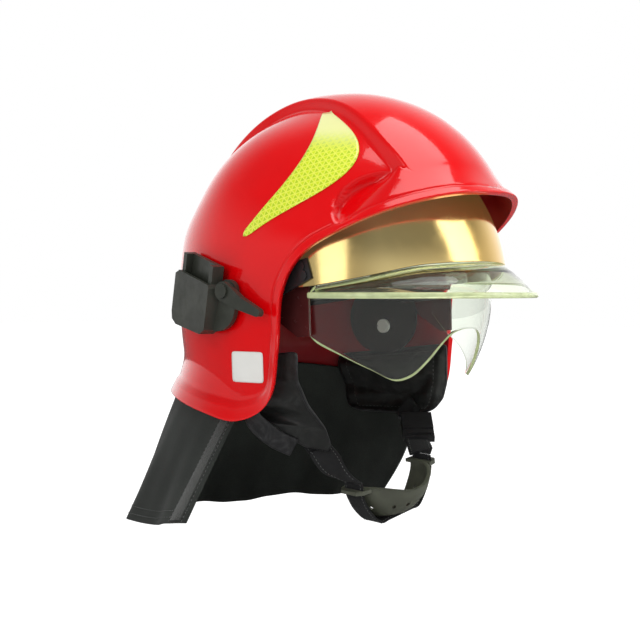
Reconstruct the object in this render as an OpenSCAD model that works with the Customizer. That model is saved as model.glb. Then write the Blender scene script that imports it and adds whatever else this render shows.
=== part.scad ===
// Structural fire helmet, built as separate pieces.
// The origin lies in the middle of the head opening, level with the pivots of both visors.
// The wearer faces -Y, +X is the wearer's left and +Z is up.

/* [Shell] */
// Half width of the dome
dome_half_w = 117; // [114:0.5:120]
// Half length of the dome
dome_half_l = 148; // [145:0.5:151]
// Height of the dome above its centre
dome_h = 161; // [158:0.5:165]
// Wall of the shell
wall = 4; // [3:0.25:4.5]
// Depth of the side panels below the central crest
crest_h = 8.5; // [5:0.5:9]
// Half width of the crest at the back
crest_back_w = 27; // [22:1:34]
// Half width of the crest at the front
crest_front_w = 60; // [56:1:66]
// Depth of the hollow in front of each side panel
scoop_h = 4; // [2:0.5:6]
// How far the brim reaches in front of the origin
brim_reach = 161; // [158:0.5:166]
// Height of the middle of the brim
brim_z = 75; // [72:0.5:80]
// Height of the neck rim at the back
nape_z = -80; // [-86:0.5:-76]
// Lowest point of the side lobes
lobe_z = -99.5; // [-104:0.5:-96]

/* [Visors] */
// Height of the axis that both visors turn about
pivot_z = 0; // [-1:0.5:2]
// Distance of that axis in front of the origin
pivot_front = 10; // [9:0.5:12]
// Radius of the visor pins
pin_r = 5; // [4:0.25:6]
// Radial clearance of a bore on its pin
fit_gap = 0.05; // [0.02:0.01:0.1]
// Space between the shell's wall and the outer visor's arms
shield_gap = 4.6; // [4.4:0.1:5.5]
// Thickness of the outer visor
shield_t = 2.5; // [2:0.1:3]
// Thickness of the outer visor's arms
shield_arm_t = 2; // [1.5:0.1:2.4]
// Height of the outer visor's lower edge, as an angle above the pivots
shield_low = 9.5; // [8:0.5:11]
// How far the lip stands in front of the outer visor's lower edge
lip_reach = 29; // [24:1:34]
// How far the lip drops below the outer visor's lower edge
lip_drop = 26; // [22:1:30]
// How far the outer visor's lower edge drops towards its ends
end_drop = 5; // [0:0.5:7]
// Space between the outer visor's arms and the eye visor's arms
arm_space = 7.6; // [6.5:0.1:8.5]
// Thickness of the eye visor
eye_t = 2.5; // [2:0.1:3]
// Thickness of the eye visor's arms
eye_arm_t = 2.2; // [1.8:0.1:2.6]
// Distance from the pivots' axis to the middle of each visor's round outline
visor_off = 30; // [28:0.5:32]

/* [Head harness] */
// Half width inside the headband
band_half_w = 75; // [72:0.5:76]
// Half length inside the headband
band_half_l = 94; // [90:0.5:95]
// Height of the headband
band_h = 26; // [20:1:30]
// Thickness of the headband
band_t = 2; // [1.5:0.1:2.5]
// Width of the crown straps
crown_strap_w = 22; // [16:1:26]
// Radius of the ratchet knob
knob_r = 15; // [12:0.5:17]
// Height of the arch of the crown straps above the headband
crown_arch = 98; // [94:1:101]

/* [Chin strap] */
// Width of the webbing
web_w = 20; // [16:1:22]
// Thickness of the webbing
web_t = 1.6; // [1.2:0.1:2]
// Radius of the rim of the chin cup
cup_r = 39; // [35:1:43]
// Depth of the chin cup
cup_h = 30; // [26:1:33]
// Turn of the chin cup as it hangs, about the vertical
cup_yaw = -6; // [-12:1:0]
// Dip of the cup's rim at its middle
cup_dip = 17; // [10:1:19]
// How far the front of the chin cup hangs down
cup_pitch = 4; // [0:1:10]
// Length of the cup's slotted ears
ear_l = 12; // [9:0.5:15]

/* [Neck curtain] */
// Half width of the hem
hem_half_w = 130; // [124:1:136]
// Lowest point of the hem at the back
hem_z = -197; // [-205:1:-188]
// Thickness of the cloth
cloth_t = 3; // [2:0.25:4]
// Height of the folds at the hem
fold_h = 4; // [0:0.5:6]

/* [Lamp bracket] */
// Width of the lamp slot
slot_w = 40; // [34:1:44]
// Thickness of the lamp slot
slot_t = 6; // [5.8:0.1:6.5]
// Thickness of the bracket's housing
bracket_t = 13; // [12.5:0.5:14]
// Length of the clamp lever from its pivot to its tip
lever_l = 38; // [30:1:42]

/* [Hidden] */
$fn = 64;

// Clearances that every piece shares
seat = 0.3;
run = 0.4;

// Places that several pieces share
centre = [0, -15, 0];
pivot_y = -pivot_front;
wall_x = dome_half_w - wall;
shield_arm_out = wall_x - shield_gap;
shield_end_x = shield_arm_out - shield_arm_t - 0.2;
shield_r = shield_end_x + 3;
eye_arm_out = shield_arm_out - shield_arm_t - arm_space;
eye_end_x = eye_arm_out - eye_arm_t - 0.2;
eye_r = eye_end_x + 0.8;
liner_half_w = eye_end_x - 6;
face_y = -39;

// Small functions
function sm(a, b, x) = let (t = min(1, max(0, (x - a) / (b - a)))) t * t * (3 - 2 * t);
function mix(a, b, t) = a * (1 - t) + b * t;
function unit(v) = v / norm(v);
function slerp(p, q, t) = let (w = acos(p * q)) (p * sin((1 - t) * w) + q * sin(t * w)) / sin(w);
function sum(v, i = 0) = i == len(v) - 1 ? v[i] : v[i] + sum(v, i + 1);
function mirror_x(p) = [-p.x, p.y, p.z];
// One point of a smooth curve through four neighbours
function spline(a, b, c, d, t) =
    0.5 * (2 * b + (c - a) * t + (2 * a - 5 * b + 4 * c - d) * t * t + (3 * b - a - 3 * c + d) * t * t * t);
// A smooth curve through points, n steps between each pair, with the given points beyond its ends
function curve(p, before, after, n) = let (q = concat([before], p, [after]))
    concat([for (i = [1 : len(p) - 1], k = [0 : n - 1]) spline(q[i - 1], q[i], q[i + 1], q[i + 2], k / n)],
        [p[len(p) - 1]]);
function bezier(a, b, c, d, t) =
    a * pow(1 - t, 3) + 3 * b * t * pow(1 - t, 2) + 3 * c * t * t * (1 - t) + d * pow(t, 3);

// Edge of the shell on the wearer's left, from the middle of the brim round the face to the nape
lip_points = [
    [0, -brim_reach, brim_z], [42, 11 - brim_reach, brim_z - 2], [dome_half_w - 37, 36.5 - brim_reach, brim_z - 12],
    [dome_half_w - 13, 67 - brim_reach, brim_z - 27], [dome_half_w - 3, -61, 29], [dome_half_w + 1, -43, 0],
    [dome_half_w + 2, face_y, -45], [dome_half_w + 2.5, face_y + 8, lobe_z + 15.5],
    [dome_half_w + 4, 0, lobe_z], [dome_half_w - 1, 42, lobe_z + 5.5],
    [dome_half_w - 21, dome_half_l - 60, nape_z - 6], [dome_half_w - 61, dome_half_l - 21, nape_z - 1],
    [0, dome_half_l - 6, nape_z]];
lip_steps = 3;
lip = curve(lip_points, mirror_x(lip_points[1]), mirror_x(lip_points[11]), lip_steps);
lip_n = len(lip) - 1;

// Radius of the bare dome in a direction from its centre
dome_pow = 2.15;
function dome_low(d) = d.z > 0 ? dome_h : mix(330, 190, sm(0.2, 0.9, d.y));
function dome_r(d) = pow(pow(abs(d.x) / dome_half_w, dome_pow) + pow(abs(d.y) / dome_half_l, dome_pow)
    + pow(abs(d.z) / dome_low(d), dome_pow), -1 / dome_pow);
lip_dir = [for (p = lip) unit(p - centre)];
lip_push = [for (i = [0 : lip_n]) lip[i] - centre - lip_dir[i] * dome_r(lip_dir[i])];
lip_width = [for (p = lip) 13 + 17 * sm(-60, -110, p.y) + 12 * sm(0, 60, p.y)];

// How far the surface lies below the dome: the side panels and the hollows in front of them
scoop_top = [-107.5, 97.5];
scoop_end = [-80, 50];
scoop_len = norm(scoop_end - scoop_top);
scoop_dir = (scoop_end - scoop_top) / scoop_len;
function crest_angle(p) = atan2(p.z - 20, -(p.y + 15));
function crest_w(p) = mix(crest_back_w, crest_front_w, sm(115, 45, crest_angle(p)));
function let_in(p) =
    let (q = abs(p.x) - crest_w(p), v = [p.y, p.z] - scoop_top, t = v * scoop_dir / scoop_len,
        h = v.x * scoop_dir.y - v.y * scoop_dir.x, bow = max(0, 4 * t * (1 - t)), back = -15 * bow,
        front = 14 * bow + 6, panel = crest_h * sm(0, 6, q) * sm(75, 15, q)
            * sm(185, 150, crest_angle(p)) * sm(35, 80, p.z),
        past = t < 0 ? 0 : sm(back, back + 8, h), rise = 1 - sm(back + 5, front, h),
        inside = t > 0 && t < 1 ? (panel + scoop_h * min(1, 2 * bow)) * rise : 0)
    panel * (1 - past) + inside * past;

// A point of the shell's outer face, in a direction on the wearer's left half
function lip_near(d) = [for (e = lip_dir) acos(min(1, d * e)) * PI / 180];
function flare(d, r) =
    let (a = lip_near(d), m = min(a), w = [for (x = a) exp(-3 * pow(x / (m + 0.06), 2))], s = sum(w),
        push = w * lip_push / s, f = pow(max(0, 1 - m * r / (w * lip_width / s)), 2))
    push * f;
function outer_half(d) = let (r = dome_r(d), p = centre + d * r) p - d * let_in(p) + flare(d, r);
function outer(d, off = 0) = d.x < 0 ? mirror_x(outer_half(mirror_x(d)) + mirror_x(d) * off)
    : outer_half(d) + d * off;
function inner(d, off = 0) = outer(d, -wall - off);
// The direction of the dome's point at a given side view place, on the wearer's left
function side_dir(y, z) = unit([dome_half_w * pow(1 - pow(abs(y - centre.y) / dome_half_l, dome_pow)
    - pow(abs(z) / (z > 0 ? dome_h : 330), dome_pow), 1 / dome_pow), y - centre.y, z]);

// Half of the shell's net: spokes from a pole above the ear to the lip and the middle line
pole = unit([1, 0.22, 0.5]);
mid_n = 28;
low_a = atan2(lip_dir[lip_n].z, lip_dir[lip_n].y);
high_a = atan2(lip_dir[0].z, lip_dir[0].y);
loop = concat(lip_dir, [for (k = [1 : mid_n - 1]) let (a = mix(low_a, high_a, k / mid_n)) [0, cos(a), sin(a)]]);
loop_n = len(loop);
// Share of a spoke at which it meets the crest's wall
function crest_side(j, t, q) = let (d = slerp(pole, loop[j], t), p = centre + d * dome_r(d)) p.x - crest_w(p) - q;
function crest_t(j, q, a = 0.3, b = 1, n = 12) = n == 0 ? (a + b) / 2
    : let (m = (a + b) / 2) crest_side(j, m, q) > 0 ? crest_t(j, q, m, b, n - 1) : crest_t(j, q, a, m, n - 1);
wall_t = [for (j = [0 : loop_n - 1]) j <= lip_n ? [0.66, 0.72] : [crest_t(j, 6), crest_t(j, 0)]];
function rings(j, n) = concat([for (k = [1 : n]) wall_t[j][0] * k / n],
    [for (k = [0 : n]) mix(wall_t[j][1], 1, k / n)]);
function half_net(n, off) = concat([outer_half(pole) - pole * off],
    [for (i = [0 : 2 * n], j = [0 : loop_n - 1]) let (d = slerp(pole, loop[j], rings(j, n)[i]))
        let (p = outer_half(d) - d * off) j == 0 || j >= lip_n ? (i == 2 * n ? [0, p.y, p.z] : p) : p]);
out_n = 6;
in_n = 4;
function net_size(n) = 1 + (2 * n + 1) * loop_n;
function at(base, other, n, i, j) = let (k = j % loop_n, mid = i == 2 * n + 1 && (k == 0 || k >= lip_n))
    (mid ? other : base) + (i == 0 ? 0 : 1 + (i - 1) * loop_n + k);
function skin(base, other, n, flip) = [for (i = [0 : 2 * n], j = [0 : loop_n - 1])
    let (a = at(base, other, n, i, j), b = at(base, other, n, i, j + 1), c = at(base, other, n, i + 1, j + 1),
        d = at(base, other, n, i + 1, j))
    each i == 0 ? [flip ? [a, d, c] : [a, c, d]] : flip ? [[a, d, c], [a, c, b]] : [[a, b, c], [a, c, d]]];

module outer_shell() {
    out_l = half_net(out_n, 0);
    in_l = half_net(in_n, wall);
    out_r = [for (p = out_l) mirror_x(p)];
    in_r = [for (p = in_l) mirror_x(p)];
    a = 0;
    b = net_size(out_n);
    c = 2 * b;
    d = c + net_size(in_n);
    rim = [for (j = [0 : lip_n - 1]) let (
        p = at(a, a, out_n, 2 * out_n + 1, j), q = at(a, a, out_n, 2 * out_n + 1, j + 1),
        r = at(c, c, in_n, 2 * in_n + 1, j), s = at(c, c, in_n, 2 * in_n + 1, j + 1),
        t = at(b, a, out_n, 2 * out_n + 1, j), u = at(b, a, out_n, 2 * out_n + 1, j + 1),
        v = at(d, c, in_n, 2 * in_n + 1, j), w = at(d, c, in_n, 2 * in_n + 1, j + 1))
        each [[p, q, s], [p, s, r], [t, w, u], [t, v, w]]];
    color([0.86, 0.03, 0.04])
    polyhedron(concat(out_l, out_r, in_l, in_r),
        concat(skin(a, a, out_n, false), skin(b, a, out_n, true), skin(c, c, in_n, true),
            skin(d, c, in_n, false), rim));
}

// A closed sheet between two nets of points with the same rows and columns; seen from q's side,
// its rows run down when its columns run to the right
module sheet(p, q, closed = false) {
    n = len(p);
    m = len(p[0]);
    cols = closed ? m : m - 1;
    function a(i, j) = i * m + j % m;
    function b(i, j) = n * m + i * m + j % m;
    polyhedron(concat([for (r = p) each r], [for (r = q) each r]), concat(
        [for (i = [0 : n - 2], j = [0 : cols - 1]) each [[a(i, j), a(i + 1, j), a(i + 1, j + 1)],
            [a(i, j), a(i + 1, j + 1), a(i, j + 1)]]],
        [for (i = [0 : n - 2], j = [0 : cols - 1]) each [[b(i, j), b(i + 1, j + 1), b(i + 1, j)],
            [b(i, j), b(i, j + 1), b(i + 1, j + 1)]]],
        [for (j = [0 : cols - 1]) each [[a(0, j), a(0, j + 1), b(0, j + 1)], [a(0, j), b(0, j + 1), b(0, j)]]],
        [for (j = [0 : cols - 1]) each [[a(n - 1, j), b(n - 1, j + 1), a(n - 1, j + 1)],
            [a(n - 1, j), b(n - 1, j), b(n - 1, j + 1)]]],
        closed ? [] : [for (i = [0 : n - 2]) each [[a(i, 0), b(i + 1, 0), a(i + 1, 0)], [a(i, 0), b(i, 0), b(i + 1, 0)]]],
        closed ? [] : [for (i = [0 : n - 2]) each [[a(i, m - 1), a(i + 1, m - 1), b(i + 1, m - 1)],
            [a(i, m - 1), b(i + 1, m - 1), b(i, m - 1)]]]));
}

// A band of webbing along points, its width along each w, its thickness t towards each n
module webbing(path, width_dir, w, t, cut = undef) {
    n = len(path);
    tangent = [for (i = [0 : n - 1]) unit(path[min(n - 1, i + 1)] - path[max(0, i - 1)])];
    side = [for (i = [0 : n - 1]) unit(width_dir[i] - tangent[i] * (width_dir[i] * tangent[i]))];
    face = [for (i = [0 : n - 1]) unit(cross(tangent[i], side[i]))];
    row = [for (i = [0 : n - 1]) i == n - 1 && cut != undef ? cut : side[i]];
    sheet([for (i = [0 : n - 1]) [for (s = [-1, 1]) path[i] + row[i] * s * w / 2 - face[i] * t / 2]],
        [for (i = [0 : n - 1]) [for (s = [-1, 1]) path[i] + row[i] * s * w / 2 + face[i] * t / 2]]);
}

// Reflective film, shaped like a leaf, on the side panel
film_t = 0.4;
film_low = [[0, 44], [-26, 70], [-62, 112], [-37, 145]];
film_high = [[-3, 40], [-60, 75], [-135, 104], [-41, 146]];
module film(side) {
    rows = [for (i = [0 : 20]) let (t = i / 20,
        a = bezier(film_low[0], film_low[1], film_low[2], film_low[3], t),
        b = bezier(film_high[0], film_high[1], film_high[2], film_high[3], t))
        [for (k = [0 : 4]) let (p = mix(a, b, k / 4), d = side_dir(p.x, p.y)) [side * d.x, d.y, d.z]]];
    near = [for (r = rows) [for (d = r) outer(d, seat + 0.4)]];
    far = [for (r = rows) [for (d = r) outer(d, seat + 0.4 + film_t)]];
    color([0.85, 0.95, 0.1]) if (side > 0) sheet(near, far); else sheet(far, near);
}
module film_left() { film(1); }
module film_right() { film(-1); }

// Plain sticker on the wearer's right
module side_label() {
    rows = [for (z = [-48, -58, -68]) [for (y = [-22, -12, -2, 8]) let (d = side_dir(y, z)) [-d.x, d.y, d.z]]];
    color("white") sheet([for (r = rows) [for (d = r) outer(d, seat)]],
        [for (r = rows) [for (d = r) outer(d, seat + 0.3)]]);
}

// Foam liner: its outside follows the shell at the back and leaves room for the visors in front
head_z = 12;
// Distance from the shell's centre to an ellipsoid round q
function egg(d, w, l, h, q) = let (o = centre - q, k = [1 / w / w, 1 / l / l, 1 / h / h],
    a = k.x * d.x * d.x + k.y * d.y * d.y + k.z * d.z * d.z, b = k.x * o.x * d.x + k.y * o.y * d.y + k.z * o.z * d.z,
    c = k.x * o.x * o.x + k.y * o.y * o.y + k.z * o.z * o.z - 1) (sqrt(b * b - a * c) - b) / a;
function liner_out(d) = let (r = dome_r(d), p = centre + d * r)
    min(r - let_in([abs(p.x), p.y, p.z]) - wall - seat - 3.1,
        egg(d, liner_half_w, d.y < 0 ? dome_half_l - 44 : dome_half_l + 22, d.z > 0 ? dome_h - 27 : 300, centre));
liner_in_w = band_half_w + band_t + 4.5;
function liner_in(d) = egg(d, liner_in_w, band_half_l + band_t + 6.5, crown_arch + 8, [0, 0, head_z]);
// Ring of the liner between two elevations, in degrees, seen from the shell's centre
crown_split = 46;
module liner_ring(high, wave, down) {
    turn = 40;
    function dir(i, j) = let (a = j * 360 / turn, low = wave < 0 ? crown_split + 0.2 : wave * cos(2 * a),
        e = mix(high, low, pow(i / down, 0.9))) [sin(a) * cos(e), -cos(a) * cos(e), sin(e)];
    ins = [for (i = [0 : down]) [for (j = [0 : turn - 1]) centre + dir(i, j) * liner_in(dir(i, j))]];
    outs = [for (i = [0 : down]) [for (j = [0 : turn - 1]) centre + dir(i, j) * liner_out(dir(i, j))]];
    color([0.12, 0.12, 0.12]) sheet(ins, outs, true);
}
module impact_liner() { liner_ring(crown_split - 0.2, 6, 5); }
// The crown of the liner is a second moulding on top of the ring
module liner_crown() { liner_ring(84, -1, 4); }

// Everything of the harness sits in a frame that rises to the forehead
module head_frame() { translate([0, 0, head_z]) rotate([-10, 0, 0]) children(); }
function head_point(p) = [0, 0, head_z] + [p.x, p.y * cos(10) + p.z * sin(10), p.z * cos(10) - p.y * sin(10)];
function oval(a, w, l) = [w * sin(a), -l * cos(a)];
housing_w = 60;
module headband() {
    grow = [for (a = [0 : 5 : 355]) oval(a, band_half_w + band_t, band_half_l + band_t)];
    hole = [for (a = [0 : 5 : 355]) oval(a, band_half_w, band_half_l)];
    color([0.1, 0.1, 0.1]) head_frame() difference() {
        translate([0, 0, -band_h / 2]) linear_extrude(band_h) difference() {
            polygon(grow);
            polygon(hole);
        }
        translate([-housing_w / 2 - seat, 0, -band_h]) cube([housing_w + 2 * seat, 150, 2 * band_h]);
    }
}

// Pads against the head, inside the headband and the straps
module band_pad(mid, half, z_mid, half_z, thick) {
    out_w = band_half_w - web_t - 2 * seat - 2;
    out_l = band_half_l - web_t - 2 * seat - 2;
    rows = [for (i = [0 : 6]) let (z = half_z * (i / 3 - 1), c = 1 - pow(abs(i / 3 - 1) * 0.82, 3))
        [for (k = [10 : -1 : -10]) let (a = mid + half * k / 10, e = 1 - pow(abs(k) / 10.8, 4), t = 1.5 + thick * c * e)
            [oval(a, out_w - t, out_l - t), oval(a, out_w, out_l), z_mid + z]]];
    sheet([for (r = rows) [for (p = r) head_point([p[0].x, p[0].y, p[2]])]],
        [for (r = rows) [for (p = r) head_point([p[1].x, p[1].y, p[2]])]]);
}
module brow_pad() { color([0.13, 0.12, 0.12]) band_pad(0, 50, 0, 14, 6); }

// Crown straps arch over the head and are sewn inside the headband
module crown_strap(half, top, along) {
    n = 28;
    path = [for (i = [0 : n]) let (a = -6 + 192 * i / n, s = half * cos(a), z = a < 0 || a > 180 ? 0 : top * sin(a),
        drop = a < 0 ? a : a > 180 ? 180 - a : 0)
        head_point([(1 - along) * s, along * s, z + drop * 1.4])];
    dir = [for (p = path) along == 1 ? [1, 0, 0] : [0, cos(10), -sin(10)]];
    color([0.07, 0.07, 0.08]) webbing(path, dir, crown_strap_w, web_t);
}
module crown_strap_long() { crown_strap(band_half_l - seat - web_t / 2 - 1.1, crown_arch, 1); }
module crown_strap_cross() { crown_strap(band_half_w - seat - web_t / 2 - 0.7, crown_arch - web_t - seat - 1.3, 0); }

// Mounts between the headband and the liner
module band_mounts() {
    function net(a0) = [for (z = [-6, 2, 10]) [for (a = [a0 + 5, a0, a0 - 5])
        let (o = oval(a, band_half_w + band_t + seat, band_half_l + band_t + seat)) head_point([o.x, o.y, z])]];
    function push(p) = let (d = unit(p - centre)) centre + d * (liner_in(d) - seat - 0.6);
    color([0.15, 0.15, 0.15]) for (a0 = [42, 128, 232, 318])
        sheet(net(a0), [for (r = net(a0)) [for (p = r) push(p)]]);
}

// Ratchet at the nape: its housing bends round the head like the headband
knob_z = -4;
housing_t = 8;
housing_y = band_half_l;
module ratchet_housing() {
    function bow(t) = [for (x = [-housing_w / 2 : housing_w / 16 : housing_w / 2])
        [x, (band_half_l + t) * sqrt(1 - pow(x / (band_half_w + t), 2))]];
    inside = bow(0);
    outside = bow(housing_t);
    color([0.09, 0.09, 0.09]) head_frame() difference() {
        union() {
            translate([0, 0, knob_z - 17]) linear_extrude(34)
                polygon(concat(inside, [for (i = [16 : -1 : 0]) outside[i]]));
            translate([0, housing_y + 2, knob_z]) rotate([-90, 0, 0]) cylinder(r = 12, h = housing_t - 0.8);
        }
        translate([0, housing_y + 2, knob_z]) rotate([-90, 0, 0]) cylinder(r = 3 + fit_gap, h = housing_t + 3);
    }
}
module ratchet_knob() {
    front = housing_y + housing_t + 1.2 + run;
    color([0.14, 0.14, 0.14]) head_frame() translate([0, front, knob_z]) rotate([-90, 0, 0]) {
        difference() {
            cylinder(r = knob_r, h = 9);
            for (a = [0 : 30 : 330]) rotate([0, 0, a]) translate([knob_r + 1.6, 0, -1]) cylinder(r = 3, h = 11);
        }
        translate([0, 0, -5.5]) cylinder(r = 3, h = 6);
    }
}
module nape_pad() { color([0.13, 0.12, 0.12]) band_pad(180, 22, knob_z, 14, 5); }

// Leather pads inside the lobes; the right one is drawn out to a tab that carries its strap
pad_t = 2.5;
pad_front_r = [[wall_x - 10, -44, -47], [wall_x - 14, -41, -68], [wall_x - 27, -41, -88], [wall_x - 48, -42, -108],
    [wall_x - 58, -42, -126]];
pad_back_r = [[wall_x - 20, 64, -58], [wall_x - 20, 62, -70], [wall_x - 22, 42, -86], [wall_x - 22, -12, -103],
    [wall_x - 41.5, -24, -121]];
pad_front_l = [[wall_x - 10, -44, -47], [wall_x - 12, -46, -62], [wall_x - 15, -48, -78], [wall_x - 18, -46, -92],
    [wall_x - 22, -36, -106]];
pad_back_l = [[wall_x - 20, 64, -58], [wall_x - 20, 63, -70], [wall_x - 22, 60, -83], [wall_x - 25, 56, -95],
    [wall_x - 27, 50, -106]];
function pad_n(side) = let (f = side > 0 ? pad_front_l : pad_front_r, b = side > 0 ? pad_back_l : pad_back_r)
    unit(cross(f[4] - f[3], b[4] - f[4]));
// A point of a pad's outer (k = 0) or inner (k = 1) face, u from top to tab and v from front to back
function pad_point(side, u, v, k) = let (
    f = side > 0 ? pad_front_l : pad_front_r, b = side > 0 ? pad_back_l : pad_back_r,
    i = min(3, floor(u * 4)), w = u * 4 - i, p = mix(mix(f[i], f[i + 1], w), mix(b[i], b[i + 1], w), v),
    follow = sm(0, 0.4, v) * (side > 0 ? sm(1.2, 0.75, u) : sm(0.62, 0.42, u)),
    shell_in = inner(side_dir(p.y, p.z), seat + 1.8 + (cloth_t + 4.6) * sm(-56, -67, p.z)),
    c = pow(4 * v * (1 - v), 0.5) * sm(0, 0.15, u) * (side > 0 ? sm(0.92, 0.7, u) : sm(0.85, 0.5, u)),
    n = pad_n(side) * (pad_n(side).x > 0 ? -1 : 1), d = unit(mix([-1, 0, 0], n, sm(0.5, 0.9, u))))
    [mix(p.x, shell_in.x, follow), p.y, p.z] + d * (k == 0 ? 0 : pad_t + 9 * c);
function pad_side(side, p) = [side * p.x, p.y, p.z];
module cheek_pad(side) {
    n = 12;
    m = 10;
    far = [for (i = [0 : n]) [for (j = [0 : m]) pad_side(side, pad_point(side, i / n, j / m, 0))]];
    near = [for (i = [0 : n]) [for (j = [0 : m]) pad_side(side, pad_point(side, i / n, j / m, 1))]];
    color([0.1, 0.1, 0.1]) if (side > 0) sheet(near, far); else sheet(far, near);
}
module cheek_pad_left() { cheek_pad(1); }
module cheek_pad_right() { cheek_pad(-1); }

// Ear plates inside each side, held by a white screw that reaches the shell
plate_x = eye_end_x - 4.4;
plate_screw = [14, -31];
plate_mid = [16, -24];
plate_r = 30;
module ear_plate() {
    translate([plate_x, plate_mid.x, plate_mid.y]) rotate([90, 0, 90]) difference() {
        linear_extrude(2) hull() {
            translate([-6, 0]) circle(r = plate_r, $fn = 48);
            translate([6, 0]) circle(r = plate_r, $fn = 48);
        }
        translate([pivot_y - plate_mid.x, pivot_z - plate_mid.y, -1]) cylinder(r = 10.5, h = 5);
        translate([plate_screw.x - plate_mid.x, plate_screw.y - plate_mid.y, -1]) cylinder(r = 2.5 + fit_gap, h = 5);
    }
}
module ear_plate_left() { color([0.12, 0.12, 0.12]) ear_plate(); }
module ear_plate_right() { color([0.12, 0.12, 0.12]) mirror([1, 0, 0]) ear_plate(); }
module plate_screws() {
    for (s = [0, 1]) mirror([s, 0, 0]) color([0.85, 0.85, 0.82])
        translate([plate_x - 3 - seat, plate_screw.x, plate_screw.y]) rotate([0, 90, 0]) difference() {
            union() {
                cylinder(r = 6, h = 3);
                cylinder(r = 2.5, h = wall_x - plate_x + 0.9);
            }
            translate([-0.7, -7, -1]) cube([1.4, 14, 2.2]);
        }
}

// Pivots of both visors, fixed inside the shell
module along_x(x, y, z) { translate([x, y, z]) rotate([0, 90, 0]) children(); }
flange_t = shield_gap - 2 * run - 0.4;
pin_inner = eye_arm_out - eye_arm_t - run;
screw_r = 2;
module visor_pivots() {
    for (s = [0, 1]) mirror([s, 0, 0]) color([0.2, 0.2, 0.2]) difference() {
        union() {
            along_x(shield_arm_out + run, pivot_y, pivot_z) cylinder(r = 12, h = flange_t);
            along_x(pin_inner, pivot_y, pivot_z) cylinder(r = pin_r, h = shield_arm_out + run - pin_inner + 0.5);
        }
        along_x(pin_inner - 1, pivot_y, pivot_z) cylinder(r = screw_r + fit_gap, h = 12);
    }
}
module pivot_spacers() {
    for (s = [0, 1]) mirror([s, 0, 0]) color([0.75, 0.75, 0.73])
        along_x(eye_arm_out + run, pivot_y, pivot_z) difference() {
            cylinder(r = 9, h = arm_space - 2 * run);
            translate([0, 0, -1]) cylinder(r = pin_r + fit_gap, h = arm_space + 2);
        }
}
module pivot_screws() {
    for (s = [0, 1]) mirror([s, 0, 0]) color([0.8, 0.8, 0.78]) difference() {
        union() {
            along_x(pin_inner - 2.2, pivot_y, pivot_z) cylinder(r = 8, h = 2.1);
            along_x(pin_inner - 0.5, pivot_y, pivot_z) cylinder(r = screw_r, h = 9);
        }
        along_x(pin_inner - 3, pivot_y - 9, pivot_z - 0.8) translate([0, 0, 0]) cube([1.6, 18, 1.8]);
    }
}

// A visor is part of a ring round the pivots' axis, from angle low to angle high above the horizontal
module ring_part(r, t, half_x, low, high) {
    translate([0, pivot_y, pivot_z]) rotate([-90, 0, 0]) rotate([0, 90, 0]) rotate([0, 0, -high])
        rotate_extrude(angle = high - low, $fn = 160) intersection() {
            translate([visor_off, 0]) difference() {
                circle(r = r);
                circle(r = r - t);
            }
            translate([visor_off + 2, -half_x]) square([r, 2 * half_x]);
        }
}
// A plate in a plane across X, drawn in Y and Z round the pivot
module side_plate(x, t) {
    translate([x, pivot_y, pivot_z]) rotate([90, 0, 90]) linear_extrude(t) children();
}
function polar(r, a) = [-r * cos(a), r * sin(a)];

// Outer visor: gold face shield, parked under the brim
shield_high = 60;
rivet_r = 2;
rivet_at = [for (a = [14.5, 23]) polar(visor_off + 17.5, a)];
// Height of the lower edge at a distance x from the middle
function ring_reach(x) = visor_off + sqrt(pow(shield_r, 2) - pow(min(abs(x), shield_end_x), 2));
function shield_edge(x) = ring_reach(x) * sin(shield_low) - end_drop * sm(0.5, 1, abs(x) / shield_end_x);
module face_shield() {
    arch_r = 76;
    low = [for (x = [-1 : 0.05 : 1.01]) [x * shield_end_x, shield_edge(x * shield_end_x)]];
    color([0.85, 0.68, 0.25]) difference() {
        intersection() {
            ring_part(shield_r, shield_t, shield_end_x, 0, shield_high);
            rotate([90, 0, 0]) linear_extrude(200) union() {
                intersection() {
                    translate([0, shield_r - arch_r + 7]) circle(r = arch_r);
                    translate([-arch_r, 44]) square(2 * arch_r);
                }
                polygon(concat(low, [[shield_end_x, 33], [shield_end_x - 8, 45], [shield_end_x - 16, 51],
                    [shield_end_x - 28, 60], [28 - shield_end_x, 60], [16 - shield_end_x, 51],
                    [8 - shield_end_x, 45], [-shield_end_x, 33]]));
            }
        }
        for (s = [-1, 1], p = rivet_at)
            translate([s * shield_end_x - 6, pivot_y + p.x, pivot_z + p.y]) rotate([0, 90, 0])
                cylinder(r = rivet_r + fit_gap, h = 12);
    }
}
module shield_arm() {
    color([0.25, 0.22, 0.2]) side_plate(shield_end_x + 0.2, shield_arm_t) difference() {
        hull() {
            circle(r = 13, $fn = 32);
            polygon([polar(visor_off + 12, shield_low + 1), polar(visor_off + 25, shield_low + 1),
                polar(visor_off + 25, 27), polar(visor_off + 12, 27)]);
        }
        circle(r = pin_r + fit_gap);
        for (p = rivet_at) translate(p) circle(r = rivet_r + fit_gap);
    }
}
module shield_arm_left() { shield_arm(); }
module shield_arm_right() { mirror([1, 0, 0]) shield_arm(); }
module shield_rivets() {
    for (s = [0, 1]) mirror([s, 0, 0]) for (p = rivet_at) color([0.8, 0.7, 0.4]) {
        along_x(shield_arm_out + 0.05, pivot_y + p.x, pivot_z + p.y) cylinder(r = 4, h = 0.9);
        along_x(shield_end_x - 1, pivot_y + p.x, pivot_z + p.y) cylinder(r = rivet_r, h = shield_arm_t + 1.8);
    }
}

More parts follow.
